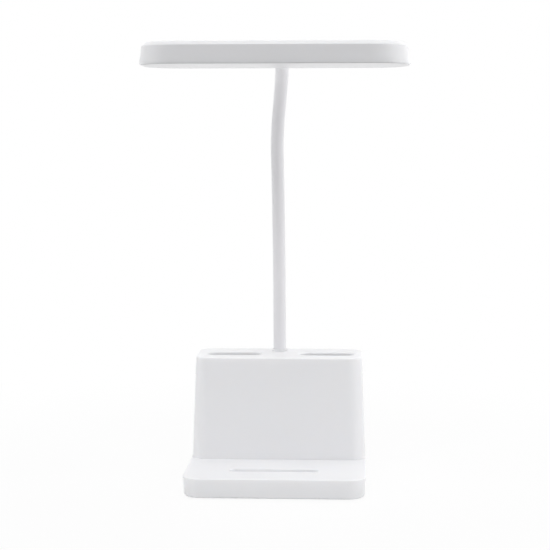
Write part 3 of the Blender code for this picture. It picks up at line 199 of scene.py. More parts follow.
class LampColours(bpy.types.PropertyGroup):
    moulding: colour("Moulding", "White moulded plastic of base and head", (0.86, 0.86, 0.877))
    sleeve: colour("Sleeve", "White silicone of the neck's sleeve", (0.845, 0.84, 0.862))
    diffuser: colour("Diffuser", "Opal plate under the head", (0.84, 0.84, 0.85))
    mat: colour("Mat", "Foam mat under the base", (0.25, 0.25, 0.26))
    steel: colour("Steel", "Zinc-plated steel of screws and inner parts", (0.62, 0.62, 0.63))
    brass: colour("Brass", "Turned brass of the neck's nut", (0.72, 0.55, 0.28))
    cell: colour("Cell", "Film round the battery cell", (0.10, 0.35, 0.60))
    board: colour("Board", "Solder mask of the charging board", (0.05, 0.25, 0.10))
    led_board: colour("LED board", "White solder mask of the LED board", (0.85, 0.85, 0.83))
    phosphor: colour("Phosphor", "Phosphor of the LEDs", (0.90, 0.75, 0.25))
    black: colour("Black", "Black plastic of switch and wires", (0.03, 0.03, 0.03))
    red: colour("Red", "Red insulation of the battery wire", (0.55, 0.04, 0.04))
    clear: colour("Clear", "Clear plastic of the charge light", (0.85, 0.88, 0.90))


# Selecting and editing


def deselect_all():
    active = bpy.context.view_layer.objects.active
    if active is not None and active.mode != "OBJECT":
        bpy.ops.object.mode_set(mode="OBJECT")
    bpy.ops.object.select_all(action="DESELECT")


def select_only(obj):
    deselect_all()
    obj.select_set(True)
    bpy.context.view_layer.objects.active = obj


def enter_edit(obj):
    select_only(obj)
    bpy.ops.object.mode_set(mode="EDIT")


def leave_edit():
    bpy.ops.object.mode_set(mode="OBJECT")


def pick(obj, kind, test):
    """Selects the vertices, edges or faces that pass the test, and nothing else."""
    bpy.ops.mesh.select_mode(type=kind)
    bpy.ops.mesh.select_all(action="DESELECT")
    shape = bmesh.from_edit_mesh(obj.data)
    for item in {"VERT": shape.verts, "EDGE": shape.edges, "FACE": shape.faces}[kind]:
        if test(item):
            item.select_set(True)
    shape.select_flush_mode()
    bmesh.update_edit_mesh(obj.data)


def level_edge(*levels):
    return lambda edge: any(all(abs(vert.co.z - level) < NEAR for vert in edge.verts) for level in levels)


def crossing_edge(level):
    return lambda edge: (edge.verts[0].co.z > level) != (edge.verts[1].co.z > level)


def level_face(level, way=1):
    return lambda face: face.normal.z * way > LEVEL and abs(face.calc_center_median().z - level) < NEAR


def round_edges(obj, test, radius, segments):
    pick(obj, "EDGE", test)
    bpy.ops.mesh.bevel(offset=radius, segments=segments, affect="EDGES")


def push(rise):
    """Extrudes the selected faces up, or down for a negative rise."""
    bpy.ops.mesh.extrude_region_move(TRANSFORM_OT_translate={"value": (0.0, 0.0, rise)})


def inset_and_push(obj, test, inset, rise):
    pick(obj, "FACE", test)
    bpy.ops.mesh.inset(thickness=inset)
    push(rise)


def apply_place(obj):
    select_only(obj)
    bpy.ops.object.transform_apply(location=True, rotation=True, scale=True)


def put(obj, place):
    """Moves the shape by this matrix; the object's own place stays at zero."""
    obj.matrix_world = place
    apply_place(obj)


def facing_rear(x, y, z):
    """The place of a shape whose foot goes here, and whose top then points to the rear."""
    return Matrix.Translation((x, y, z)) @ Matrix.Rotation(-QUARTER_TURN, 4, "X")


def apply_modifier(obj, kind, **settings):
    modifier = obj.modifiers.new(kind.title(), kind)
    for key, value in settings.items():
        setattr(modifier, key, value)
    select_only(obj)
    bpy.ops.object.modifier_apply(modifier=modifier.name)


def combine(obj, tool, operation):
    apply_modifier(obj, "BOOLEAN", operation=operation, object=tool, solver="EXACT")
    bpy.data.objects.remove(tool)


def cut(obj, tool):
    combine(obj, tool, "DIFFERENCE")


def join(obj, tool):
    combine(obj, tool, "UNION")


def clean(obj):
    """Merges doubled points and points all faces outwards."""
    enter_edit(obj)
    bpy.ops.mesh.select_all(action="SELECT")
    bpy.ops.mesh.remove_doubles(threshold=NEAR)
    bpy.ops.mesh.normals_make_consistent(inside=False)
    leave_edit()


def shade(obj):
    """Round faces shade smooth and flat ones stay flat up to their rounded edges."""
    select_only(obj)
    bpy.ops.object.shade_smooth_by_angle(angle=SMOOTH_BELOW)
    apply_modifier(obj, "WEIGHTED_NORMAL", keep_sharp=True)


def hand_over(obj, finish, slot_name, body, *nodes):
    """The finished piece is shaded, gets its finish and takes the place of these nodes on their body."""
    shade(obj)
    obj.data.materials.clear()
    obj.data.materials.append(bpy.data.materials[finish])
    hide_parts(*nodes)
    if body is not None:
        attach(obj, body)


# Starting shapes


def new_shape(name):
    """The object that has just been added gets its name, and its place goes into its mesh."""
    obj = bpy.context.object
    obj.name = name
    apply_place(obj)
    return obj


def box_start(name, low, high):
    deselect_all()
    low, high = Vector(low), Vector(high)
    bpy.ops.mesh.primitive_cube_add(size=1.0, location=(low + high) / 2)
    bpy.context.object.scale = high - low
    return new_shape(name)


def rod_start(name, radius, low, high, sides=48):
    """A rod from low to high, along Y or Z."""
    deselect_all()
    low, high = Vector(low), Vector(high)
    turn = QUARTER_TURN if abs(high.y - low.y) > NEAR else 0.0
    bpy.ops.mesh.primitive_cylinder_add(vertices=sides, radius=radius, depth=(high - low).length,
                                        location=(low + high) / 2, rotation=(turn, 0.0, 0.0))
    return new_shape(name)


def draw_in_top(obj, low, high, side, front, rear):
    """The top gets smaller by these amounts, as a drafted moulding does."""
    middle = (low.z + high.z) / 2
    pick(obj, "VERT", lambda vert: vert.co.z > middle)
    width, depth = high.x - low.x, high.y - low.y
    kept = (depth - front - rear) / depth
    fixed_y = low.y + front / (1.0 - kept) if kept != 1.0 else low.y
    bpy.ops.transform.resize(value=((width - 2 * side) / width, kept, 1.0),
                             center_override=((low.x + high.x) / 2, fixed_y, high.z))


def moulded_box(name, low, high, corner, draft=(0.0, 0.0, 0.0), top_edge=0.0, bottom_edge=0.0, steps=12,
                edge_steps=4):
    """A box with rounded upright corners, rounded rims and a draft at its sides, front and rear."""
    low, high = Vector(low), Vector(high)
    obj = box_start(name, low, high)
    enter_edit(obj)
    if any(draft):
        draw_in_top(obj, low, high, *draft)
    round_edges(obj, crossing_edge((low.z + high.z) / 2), corner, steps)
    for level, edge in ((high.z, top_edge), (low.z, bottom_edge)):
        if edge:
            round_edges(obj, level_edge(level), edge, edge_steps)
    leave_edit()
    return obj


def slot_plug(name, centre, size, low_z, high_z, flare=0.0, flare_steps=4):
    """A plug with round ends, whose top widens by flare like a rounded mouth."""
    half = Vector(size) / 2
    obj = moulded_box(name, (centre[0] - half.x, centre[1] - half.y, low_z),
                      (centre[0] + half.x, centre[1] + half.y, high_z - flare), half.y - NEAR, steps=16)
    if flare:
        enter_edit(obj)
        pick(obj, "FACE", level_face(high_z - flare))
        risen = grown = 0.0
        for step in range(1, flare_steps + 1):
            angle = QUARTER_TURN * step / flare_steps
            rise, growth = flare * math.sin(angle), flare * (1.0 - math.cos(angle))
            push(rise - risen)
            bpy.ops.transform.resize(value=((half.x + growth) / (half.x + grown),
                                            (half.y + growth) / (half.y + grown), 1.0),
                                     center_override=(*centre, high_z))
            risen, grown = rise, growth
        push(OVERRUN)
        leave_edit()
    return obj


# The neck's centre line and the head's frame


class NeckLine:
    """The neck's centre line, by the length along it from the block's top."""

    STEPS = 2000

    def __init__(self):
        scene = bpy.context.scene
        neck = self.neck = scene.lamp_neck
        self.end_lean = QUARTER_TURN - scene.lamp_head.tilt
        self.points = [Vector((neck.x, neck.y, scene.lamp_base.top))]
        step = neck.length / self.STEPS
        for number in range(self.STEPS):
            point = self.points[-1] + self.way((number + 0.5) * step) * step
            point.x = neck.x + self.aside((number + 1) / self.STEPS)
            self.points.append(point)

    def lean(self, along):
        """How far the neck leans to the front here: first evenly more, then in a curl."""
        done = min(max(along / self.neck.length, 0.0), 1.0)
        steady = self.neck.steady_share
        return self.end_lean * (steady * done + (1.0 - steady) * done**self.neck.curl_power)

    def aside(self, done):
        """How far the neck has come to the side, in one smooth step."""
        neck = self.neck
        part = min(max((done - neck.side_start) / (neck.side_end - neck.side_start), 0.0), 1.0)
        return neck.side_lean * part**2 * (3.0 - 2.0 * part)

    def way(self, along):
        lean = self.lean(along)
        return Vector((0.0, -math.sin(lean), math.cos(lean)))

    def place(self, along):
        """The point at this length; straight on past either end."""
        inside = min(max(along, 0.0), self.neck.length)
        reached = inside / self.neck.length * self.STEPS
        index = min(int(reached), self.STEPS - 1)
        point = self.points[index].lerp(self.points[index + 1], reached - index)
        return point + self.way(along) * (along - inside)


def head_place():
    """The head's frame: zero is where the neck enters its rear face."""
    tilt = bpy.context.scene.lamp_head.tilt
    return Matrix.Translation(NeckLine().points[-1]) @ Matrix.Rotation(-tilt, 4, "X")


def head_levels(head):
    """Heights of the rim, the top, the ceiling and the diffuser's two faces in the head's frame."""
    rim = -head.entry_height
    top = rim + head.face_height + head.bevel
    below = rim - head.diffuser_proud
    return rim, top, top - head.wall, below, below + head.diffuser_thickness


def head_box(name, inset, low_z, high_z, draft=0.0, steps=28, **edges):
    """A box on the head's plan, drawn in all round by inset."""
    head = bpy.context.scene.lamp_head
    rear = head.face_draft / head.face_height * head.entry_height
    half = head.width / 2 - inset
    return moulded_box(name, (head.centre_x - half, rear - head.depth + inset, low_z),
                       (head.centre_x + half, rear - inset, high_z), head.corner - inset,
                       draft=(draft, draft, draft), steps=steps, **edges)


# Finishes


def add_node(tree, kind, inputs=(), **settings):
    """A shader node with these settings, whose inputs get these values or links."""
    node = tree.nodes.new("ShaderNode" + kind)
    for key, value in settings.items():
        setattr(node, key, value)
    for key, value in dict(inputs).items():
        if isinstance(value, bpy.types.NodeSocket):
            tree.links.new(value, node.inputs[key])
        else:
            node.inputs[key].default_value = value
    return node


def add_math(tree, operation, *values):
    """The result of a math node on these values or links."""
    return add_node(tree, "Math", enumerate(values), operation=operation).outputs[0]


def shared_group(name, result, defaults):
    """An empty node group that reads a vector and these inputs; returns it, its inputs and its result."""
    group = bpy.data.node_groups.new(name, "ShaderNodeTree")

    def add_socket(key, way):
        kind = {"Vector": "Vector", "Colour": "Color"}.get(key, "Float")
        return group.interface.new_socket(name=key, in_out=way, socket_type="NodeSocket" + kind)

    add_socket("Vector", "INPUT")
    for key, value in defaults.items():
        add_socket(key, "INPUT").default_value = value
    add_socket(result, "OUTPUT")
    given, out = group.nodes.new("NodeGroupInput"), group.nodes.new("NodeGroupOutput")
    return group, given.outputs, out.inputs[result]


def mould_grain_group():
    """Fine grain of a spark-eroded mould, as a height."""
    group, given, result = shared_group("Mould grain", "Height", {"Scale": 2500.0, "Detail": 4.0})
    noise = add_node(group, "TexNoise", {key: given[key] for key in ("Vector", "Scale", "Detail")})
    group.links.new(noise.outputs["Fac"], result)


def tone_drift_group():
    """A colour that gets a little darker in slow patches."""
    group, given, result = shared_group(
        "Tone drift", "Colour", {"Colour": (0.8, 0.8, 0.8, 1.0), "Amount": 0.03, "Scale": 30.0})
    noise = add_node(group, "TexNoise", {"Vector": given["Vector"], "Scale": given["Scale"], "Detail": 3.0})
    darker = add_math(group, "MULTIPLY", noise.outputs["Fac"], given["Amount"])
    lightness = add_math(group, "SUBTRACT", 1.0, darker)
    scaled = add_node(group, "VectorMath", {0: given["Colour"], "Scale": lightness}, operation="SCALE")
    group.links.new(scaled.outputs[0], result)


def handling_sheen_group():
    """A roughness that hands and cloths have polished in patches."""
    group, given, result = shared_group(
        "Handling sheen", "Roughness", {"Roughness": 0.4, "Spread": 0.08, "Scale": 60.0})
    noise = add_node(group, "TexNoise", {"Vector": given["Vector"], "Scale": given["Scale"], "Detail": 5.0,
                                         "Roughness": 0.6})
    centred = add_math(group, "SUBTRACT", noise.outputs["Fac"], 0.5)
    patches = add_math(group, "MULTIPLY_ADD", centred, given["Spread"], given["Roughness"])
    group.links.new(patches, result)


class Finish:
    """A material under construction: its tree, its shader's inputs and its object coordinates."""

    def __init__(self, name):
        material = bpy.data.materials.new(name)
        material.use_nodes = True
        self.tree = material.node_tree
        self.shader = self.tree.nodes["Principled BSDF"].inputs
        self.place = self.node("TexCoord").outputs["Object"]

    def node(self, kind, inputs=(), **settings):
        return add_node(self.tree, kind, inputs, **settings)

    def link(self, source, target):
        self.tree.links.new(source, self.shader[target])

    def shared(self, name, result, **values):
        """The result of a shared group, read at the object's coordinates, with its own values."""
        group = self.node("Group", {"Vector": self.place, **values}, node_tree=bpy.data.node_groups[name])
        return group.outputs[result]

    def stretch(self, scale, rotation=(0.0, 0.0, 0.0), location=(0.0, 0.0, 0.0)):
        """Object coordinates that are turned, moved and stretched."""
        return self.node("Mapping", {"Vector": self.place, "Scale": scale, "Rotation": rotation,
                                     "Location": location}).outputs["Vector"]

    def set(self, **values):
        for key, value in values.items():
            self.shader[key.replace("_", " ")].default_value = value

    def tone(self, base, amount, scale=30.0):
        drift = self.shared("Tone drift", "Colour", Colour=(*base, 1.0), Amount=amount, Scale=scale)
        self.link(drift, "Base Color")

    def sheen(self, roughness, spread, scale=60.0):
        handled = self.shared("Handling sheen", "Roughness", Roughness=roughness, Spread=spread,
                              Scale=scale)
        self.link(handled, "Roughness")

    def relief(self, height, strength, distance):
        bump = self.node("Bump", {"Height": height, "Strength": strength, "Distance": distance})
        self.link(bump.outputs["Normal"], "Normal")

    def grain(self, scale, strength, distance):
        self.relief(self.shared("Mould grain", "Height", Scale=scale), strength, distance)


def white_moulding(colours):
    finish = Finish("White moulding")
    finish.tone(colours.moulding, amount=0.02)
    finish.sheen(roughness=0.42, spread=0.10)
    finish.grain(scale=3200.0, strength=0.25, distance=0.00004)
    finish.set(Specular_IOR_Level=0.45, Subsurface_Weight=0.5, Subsurface_Scale=0.003,
               Subsurface_Radius=(1.0, 0.95, 0.9))


def white_sleeve(colours):
    finish = Finish("White sleeve")
    finish.tone(colours.sleeve, amount=0.03, scale=45.0)
    finish.sheen(roughness=0.40, spread=0.12, scale=90.0)
    finish.grain(scale=4200.0, strength=0.20, distance=0.00003)
    finish.set(Specular_IOR_Level=0.45)


def opal_diffuser(colours):
    finish = Finish("Opal diffuser")
    finish.tone(colours.diffuser, amount=0.015, scale=20.0)
    finish.sheen(roughness=0.34, spread=0.06)
    finish.grain(scale=5200.0, strength=0.15, distance=0.00002)
    finish.set(Specular_IOR_Level=0.5)


def foam_mat(colours):
    finish = Finish("Foam mat")
    finish.tone(colours.mat, amount=0.25, scale=500.0)
    finish.sheen(roughness=0.88, spread=0.10, scale=200.0)
    pores = finish.node("TexVoronoi", {"Vector": finish.place, "Scale": 1600.0})
    finish.relief(pores.outputs["Distance"], strength=0.8, distance=0.0002)


def brushed_metal(name, base, roughness, along):
    """Metal with fine draw marks that run along one way."""
    finish = Finish(name)
    finish.tone(base, amount=0.10, scale=120.0)
    marks = finish.node("TexNoise", {"Vector": finish.stretch(along), "Scale": 1.0, "Detail": 4.0})
    finish.sheen(roughness, spread=0.16, scale=250.0)
    finish.relief(marks.outputs["Fac"], strength=0.3, distance=0.00003)
    finish.set(Metallic=1.0)


def cell_film(colours):
    """Shrink film: soft creases round the can."""
    finish = Finish("Cell film")
    finish.tone(colours.cell, amount=0.12, scale=80.0)
    finish.sheen(roughness=0.35, spread=0.12, scale=120.0)
    creases = finish.node("TexNoise", {"Vector": finish.stretch((900.0, 60.0, 60.0)), "Scale": 1.0,
                                       "Detail": 2.0})
    finish.relief(creases.outputs["Fac"], strength=0.4, distance=0.0002)


def circuit_board(colours):
    """Solder mask with paler tracks under it."""
    finish = Finish("Circuit board")
    mask, darker, track = ((*(min(1.0, value * factor) for value in colours.board), 1.0)
                           for factor in (1.0, 0.9, 1.9))
    tracks = finish.node("TexBrick", {
        "Vector": finish.stretch((420.0, 420.0, 420.0)), "Scale": 1.0, "Mortar Size": 0.06,
        "Mortar Smooth": 0.2, "Color1": mask, "Color2": darker, "Mortar": track}, offset=0.5)
    finish.link(tracks.outputs["Color"], "Base Color")
    finish.sheen(roughness=0.38, spread=0.10)
    finish.relief(tracks.outputs["Fac"], strength=0.3, distance=0.00005)


def led_board_mask(colours, head):
    """White solder mask; what stands out below the board's face is the LEDs' phosphor."""
    finish = Finish("LED board mask")
    into_head = head_place().inverted()
    turned = finish.stretch((1.0, 1.0, 1.0), into_head.to_euler(), into_head.translation)
    height = finish.node("SeparateXYZ", {"Vector": turned}).outputs["Z"]
    below = add_math(finish.tree, "LESS_THAN", height, head_levels(head)[2] - head.board_drop)
    mix = finish.node("Mix", {"Factor": below, "A": (*colours.led_board, 1.0),
                              "B": (*colours.phosphor, 1.0)}, data_type="RGBA")
    finish.link(mix.outputs["Result"], "Base Color")
    finish.sheen(roughness=0.40, spread=0.08)
    finish.grain(scale=3000.0, strength=0.2, distance=0.00003)


def plain_plastic(name, base, roughness):
    finish = Finish(name)
    finish.tone(base, amount=0.10, scale=200.0)
    finish.sheen(roughness, spread=0.12, scale=150.0)
    finish.grain(scale=2600.0, strength=0.25, distance=0.00004)


def clear_plastic(colours):
    finish = Finish("Clear light pipe")
    finish.set(Base_Color=(*colours.clear, 1.0), Transmission_Weight=0.85, IOR=1.49)
    finish.sheen(roughness=0.16, spread=0.06, scale=300.0)
    finish.grain(scale=1500.0, strength=0.15, distance=0.00003)


class LAMP_OT_finishes(bpy.types.Operator):
    """Makes the lamp's finishes and puts them on the inner parts"""

    bl_idname = "lamp.finishes"
    bl_label = "Finishes"

    INNER = {
        "White moulding": ("bottom_cover",),
        "Drawn steel": ("ballast_plate", "neck_washer", "neck_clamp", "board_screw_1", "board_screw_2",
                        "led_board_screw_1", "led_board_screw_2", "led_board_screw_3",
                        "led_board_screw_4", "clamp_screw_1", "clamp_screw_2"),
        "Turned brass": ("neck_nut",),
        "Cell film": ("battery_cell",),
        "Circuit board": ("charging_board",),
        "LED board mask": ("led_board",),
        "Black plastic": ("switch_body", "switch_plunger", "lamp_lead", "led_lead"),
        "Red insulation": ("battery_lead",),
    }

    def execute(self, context):
        colours = context.scene.lamp_colours
        for make_group in (mould_grain_group, tone_drift_group, handling_sheen_group):
            make_group()
        for make_finish in (white_moulding, white_sleeve, opal_diffuser, foam_mat, cell_film,
                            circuit_board, clear_plastic):
            make_finish(colours)
        led_board_mask(colours, context.scene.lamp_head)
        brushed_metal("Drawn steel", colours.steel, roughness=0.34, along=(120.0, 2600.0, 2600.0))
        brushed_metal("Turned brass", colours.brass, roughness=0.30, along=(400.0, 400.0, 3000.0))
        plain_plastic("Black plastic", colours.black, roughness=0.45)
        plain_plastic("Red insulation", colours.red, roughness=0.42)
        for finish, nodes in self.INNER.items():
            for node in nodes:
                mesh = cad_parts[node].data
                mesh.materials.clear()
                mesh.materials.append(bpy.data.materials[finish])
        return {"FINISHED"}


# The base


def outer_base(sizes):
    """Slab and pen block in one solid."""
    widening, rear = sizes.slab_draft, sizes.depth / 2
    half = sizes.width / 2 - widening
    shelf = sizes.foot + sizes.slab_height
    slab = moulded_box("base_shell", (-half, widening - rear, sizes.foot), (half, rear, shelf),
                       sizes.slab_corner, draft=(-widening, -widening, 0.0), top_edge=sizes.edge,
                       bottom_edge=sizes.slab_foot)
    half = sizes.width / 2 - sizes.block_step
    block = moulded_box("block", (sizes.block_x - half, rear - sizes.block_depth, shelf - sizes.block_root),
                        (sizes.block_x + half, rear - sizes.block_step, sizes.top), sizes.block_corner,
                        draft=(sizes.side_draft, 0.0, sizes.rear_draft), top_edge=sizes.edge)
    join(slab, block)
    return slab


def hollow_out(shell, sizes):
    half, rear = sizes.width / 2 - sizes.wall, sizes.depth / 2 - sizes.wall
    ceiling = sizes.foot + sizes.slab_height - sizes.wall
    cut(shell, moulded_box("slab hollow", (-half, -rear, sizes.foot - OVERRUN), (half, rear, ceiling),
                           sizes.slab_corner - sizes.wall))
    half -= sizes.block_step
    front = sizes.depth / 2 - sizes.block_depth + sizes.wall
    middle = sizes.foot + sizes.slab_height / 2
    cut(shell, moulded_box("block hollow", (sizes.block_x - half, front, middle),
                           (sizes.block_x + half, rear - sizes.block_step, sizes.top - sizes.wall),
                           sizes.block_corner - sizes.wall,
                           draft=(sizes.side_draft, 0.0, sizes.rear_draft)))


def sink_pocket(shell, sizes, centre, size, floor, top, wall, mouth):
    """A pocket with its own wall inside the shell and a rounded mouth."""
    jacket = (size[0] + 2 * wall, size[1] + 2 * wall)
    join(shell, slot_plug("jacket", centre, jacket, floor - wall, top - sizes.wall / 2))
    cut(shell, slot_plug("pocket", centre, size, floor, top, flare=mouth))


def sink_wells(shell, sizes, wells):
    """Two pen wells and the phone groove."""
    shelf = sizes.foot + sizes.slab_height
    for side in (-1, 1):
        centre = (wells.centre_x + side * wells.spacing / 2, sizes.depth / 2 - wells.from_rear)
        sink_pocket(shell, sizes, centre, (wells.length, wells.width), wells.floor, sizes.top, wells.wall,
                    wells.mouth)
    sink_pocket(shell, sizes, (wells.groove_centre_x, wells.groove_from_front - sizes.depth / 2),
                (wells.groove_length, wells.groove_width), shelf - wells.groove_depth, shelf,
                wells.groove_wall, wells.groove_mouth)


def pierce_rear(shell, sizes, fittings):
    """Openings for the charging socket, the power button and the charge light."""
    rear_in, rear_out = sizes.depth / 2 - sizes.wall - OVERRUN, sizes.depth / 2 + OVERRUN
    gap, height = fittings.gap, fittings.height
    size = (fittings.socket_width + 2 * gap, fittings.socket_height + 2 * gap)
    socket = slot_plug("socket opening", (0.0, 0.0), size, 0.0, rear_out - rear_in)
    put(socket, facing_rear(0.0, rear_in, height))
    cut(shell, socket)
    for x, radius in ((fittings.button_x, fittings.button_radius), (fittings.pipe_x, fittings.pipe_radius)):
        cut(shell, rod_start("round opening", radius + gap, (x, rear_in, height), (x, rear_out, height)))


class LAMP_OT_base_shell(bpy.types.Operator):
    """Builds the base: phone shelf, pen block, wells and openings"""

    bl_idname = "lamp.base_shell"
    bl_label = "Base Shell"

    def execute(self, context):
        scene = context.scene
        sizes, neck, fittings = scene.lamp_base, scene.lamp_neck, scene.lamp_fittings
        shell = outer_base(sizes)
        hollow_out(shell, sizes)
        sink_wells(shell, sizes, scene.lamp_wells)
        pierce_rear(shell, sizes, fittings)
        cut(shell, rod_start("neck hole", neck.coil_radius + fittings.gap,
                             (neck.x, neck.y, sizes.top - sizes.wall - OVERRUN),
                             (neck.x, neck.y, sizes.top + OVERRUN)))
        clean(shell)
        hand_over(shell, "White moulding", "white_moulding", "base", "base_housing")
        return {"FINISHED"}


def pan_head_screw(name, fittings, height):
    """A cover screw's head and shank, with a cross in the head, pointing up from zero."""
    head = fittings.screw_head
    screw = rod_start(name, fittings.screw_radius, (0.0, 0.0, 0.0), (0.0, 0.0, head), sides=32)
    enter_edit(screw)
    round_edges(screw, level_edge(0.0), head / 3, segments=3)
    leave_edit()
    join(screw, rod_start("shank", fittings.screw_shank, (0.0, 0.0, head / 2), (0.0, 0.0, height),
                          sides=24))
    reach, deep, half = fittings.screw_radius * 0.62, head * 0.6, fittings.screw_slot / 2
    for turn in (0.0, QUARTER_TURN):
        bar = box_start("bar", (-reach, -half, -OVERRUN), (reach, half, deep))
        put(bar, Matrix.Rotation(turn, 4, "Z"))
        cut(screw, bar)
    return screw


class LAMP_OT_underside(bpy.types.Operator):
    """Builds the foam mat and the cover screws"""

    bl_idname = "lamp.underside"
    bl_label = "Underside"

    def execute(self, context):
        sizes = context.scene.lamp_base
        mat = moulded_box("foam_mat", *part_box("anti_slip_mat"), sizes.mat_corner,
                          bottom_edge=sizes.mat_edge, steps=10, edge_steps=2)
        hand_over(mat, "Foam mat", "grey_foam", "base", "anti_slip_mat")
        boxes = [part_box(f"base_screw_{number}") for number in range(1, 5)]
        places = [Vector(((low.x + high.x) / 2, (low.y + high.y) / 2, low.z)) for low, high in boxes]
        height = boxes[0][1].z - boxes[0][0].z
        screws = [pan_head_screw("cover_screw_1", context.scene.lamp_fittings, height)]
        put(screws[0], Matrix.Translation(places[0]))
        clean(screws[0])
        for number, place in enumerate(places[1:], 2):
            copy = screws[0].copy()
            copy.data = screws[0].data.copy()
            copy.name = f"cover_screw_{number}"
            context.collection.objects.link(copy)
            put(copy, Matrix.Translation(place - places[0]))
            screws.append(copy)
        for number, screw in enumerate(screws, 1):
            hand_over(screw, "Drawn steel", "bright_steel", "base", f"base_screw_{number}")
        return {"FINISHED"}


def charging_socket(fittings):
    """A stadium shell with a deep mouth and a contact tongue, mouth up."""
    long, back = fittings.socket_length, fittings.socket_back
    socket = slot_plug("charging_socket", (0.0, 0.0), (fittings.socket_width, fittings.socket_height),
                       0.0, long)
    enter_edit(socket)
    inset_and_push(socket, level_face(long), fittings.socket_wall, back - long)
    leave_edit()
    half_width, thick = fittings.tongue_width / 2, fittings.tongue_height
    join(socket, moulded_box("tongue", (-half_width, -thick / 2, back / 2),
                             (half_width, thick / 2, long - 2 * fittings.socket_setback), thick / 4,
                             top_edge=thick / 5, steps=3, edge_steps=2))
    return socket


def push_button(fittings, flange_radius, height):
    """A round cap with a finger dish, on the flange behind the wall, cap up."""
    flange, radius = fittings.button_flange, fittings.button_radius
    button = rod_start("push_button", flange_radius, (0.0, 0.0, 0.0), (0.0, 0.0, flange), sides=64)
    enter_edit(button)
    inset_and_push(button, level_face(flange), flange_radius - radius, height - flange)
    round_edges(button, level_edge(height), fittings.button_edge, segments=5)
    pick(button, "FACE", level_face(height))
    dish_ring = radius * 0.22
    for part in (0.2, 0.3, 0.5):
        bpy.ops.mesh.inset(thickness=dish_ring)
        bpy.ops.transform.translate(value=(0.0, 0.0, -fittings.button_dish * part))
    leave_edit()
    return button


class LAMP_OT_rear_fittings(bpy.types.Operator):
    """Builds the charging socket, the power button and the charge light"""

    bl_idname = "lamp.rear_fittings"
    bl_label = "Rear Fittings"

    def execute(self, context):
        fittings = context.scene.lamp_fittings
        socket = charging_socket(fittings)
        back = context.scene.lamp_base.depth / 2 - fittings.socket_setback - fittings.socket_length
        put(socket, facing_rear(0.0, back, fittings.height))
        clean(socket)
        hand_over(socket, "Drawn steel", "bright_steel", "base", "usb_socket")
        low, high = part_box("power_button")
        button = push_button(fittings, (high.x - low.x) / 2, high.y - low.y)
        put(button, facing_rear(fittings.button_x, low.y, fittings.height))
        clean(button)
        hand_over(button, "White moulding", "white_moulding", "button", "power_button")
        low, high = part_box("charge_light_pipe")
        tip = high.y - low.y
        pipe = rod_start("charge_light", fittings.pipe_radius, (0.0, 0.0, 0.0), (0.0, 0.0, tip))
        enter_edit(pipe)
        round_edges(pipe, level_edge(tip), fittings.pipe_edge, segments=4)
        leave_edit()
        put(pipe, facing_rear(fittings.pipe_x, low.y, fittings.height))
        hand_over(pipe, "Clear light pipe", "clear_pipe", "base", "charge_light_pipe")
        return {"FINISHED"}


# The neck


def tube_along(name, line, alongs, sizes, radius, sides):
    """A ring extruded along the neck's centre line; sizes give each ring's share of the radius."""
    places = [line.place(along) for along in alongs]
    leans = [line.lean(along) for along in alongs]
    deselect_all()
    bpy.ops.mesh.primitive_circle_add(vertices=sides, radius=radius * sizes[0], location=places[0],
                                      rotation=(leans[0], 0.0, 0.0))
    tube = new_shape(name)
    enter_edit(tube)
    bpy.ops.mesh.select_mode(type="EDGE")
    bpy.ops.mesh.select_all(action="SELECT")
    for i in range(1, len(places)):
        bpy.ops.mesh.extrude_region_move(TRANSFORM_OT_translate={"value": places[i] - places[i - 1]})
        bpy.ops.transform.rotate(value=leans[i - 1] - leans[i], orient_axis="X", center_override=places[i])
        if sizes[i] != sizes[i - 1]:
            bpy.ops.transform.resize(value=(sizes[i] / sizes[i - 1],) * 3, center_override=places[i])
    leave_edit()
    return tube


def neck_lengths(neck, start, end, pitch):
    """For each length of the neck, its number and where along the neck its rings lie."""
    span = neck.length / neck.lengths
    for number in range(1, neck.lengths + 1):
        low = start if number == 1 else span * (number - 1)
        high = end if number == neck.lengths else span * number
        count = max(2, round((high - low) / pitch))
        yield number, [low + (high - low) * i / count for i in range(count + 1)]


def hand_over_length(piece, finish, slot_name, kind, line, number):
    """A length stands for its CAD length, the last one for the end too."""
    neck = line.neck
    numbers = [number] if number < neck.lengths else [number, number + 1]
    hand_over(piece, finish, slot_name, None, *(f"neck_{kind}_{each}" for each in numbers))
    span = neck.length / neck.lengths
    line.place(span * (number - 1) + neck.ring_pitch)
    line.place(span * number - neck.ring_pitch)
    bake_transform(piece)


class LAMP_OT_neck_sleeve(bpy.types.Operator):
    """Builds the neck's smooth sleeve in lengths"""

    bl_idname = "lamp.neck_sleeve"
    bl_label = "Neck Sleeve"

    def execute(self, context):
        line, neck = NeckLine(), context.scene.lamp_neck
        start, end = context.scene.lamp_fittings.gap, neck.length - neck.head_gap
        for number, alongs in neck_lengths(neck, start, end, neck.ring_pitch):
            sleeve = tube_along(f"sleeve_length_{number}", line, alongs, [1.0] * len(alongs),
                                neck.sleeve_radius, sides=40)
            clean(sleeve)
            apply_modifier(sleeve, "SOLIDIFY", thickness=neck.sleeve_wall, offset=-1.0)
            hand_over_length(sleeve, "White sleeve", "white_sleeve", "sleeve", line, number)
        return {"FINISHED"}


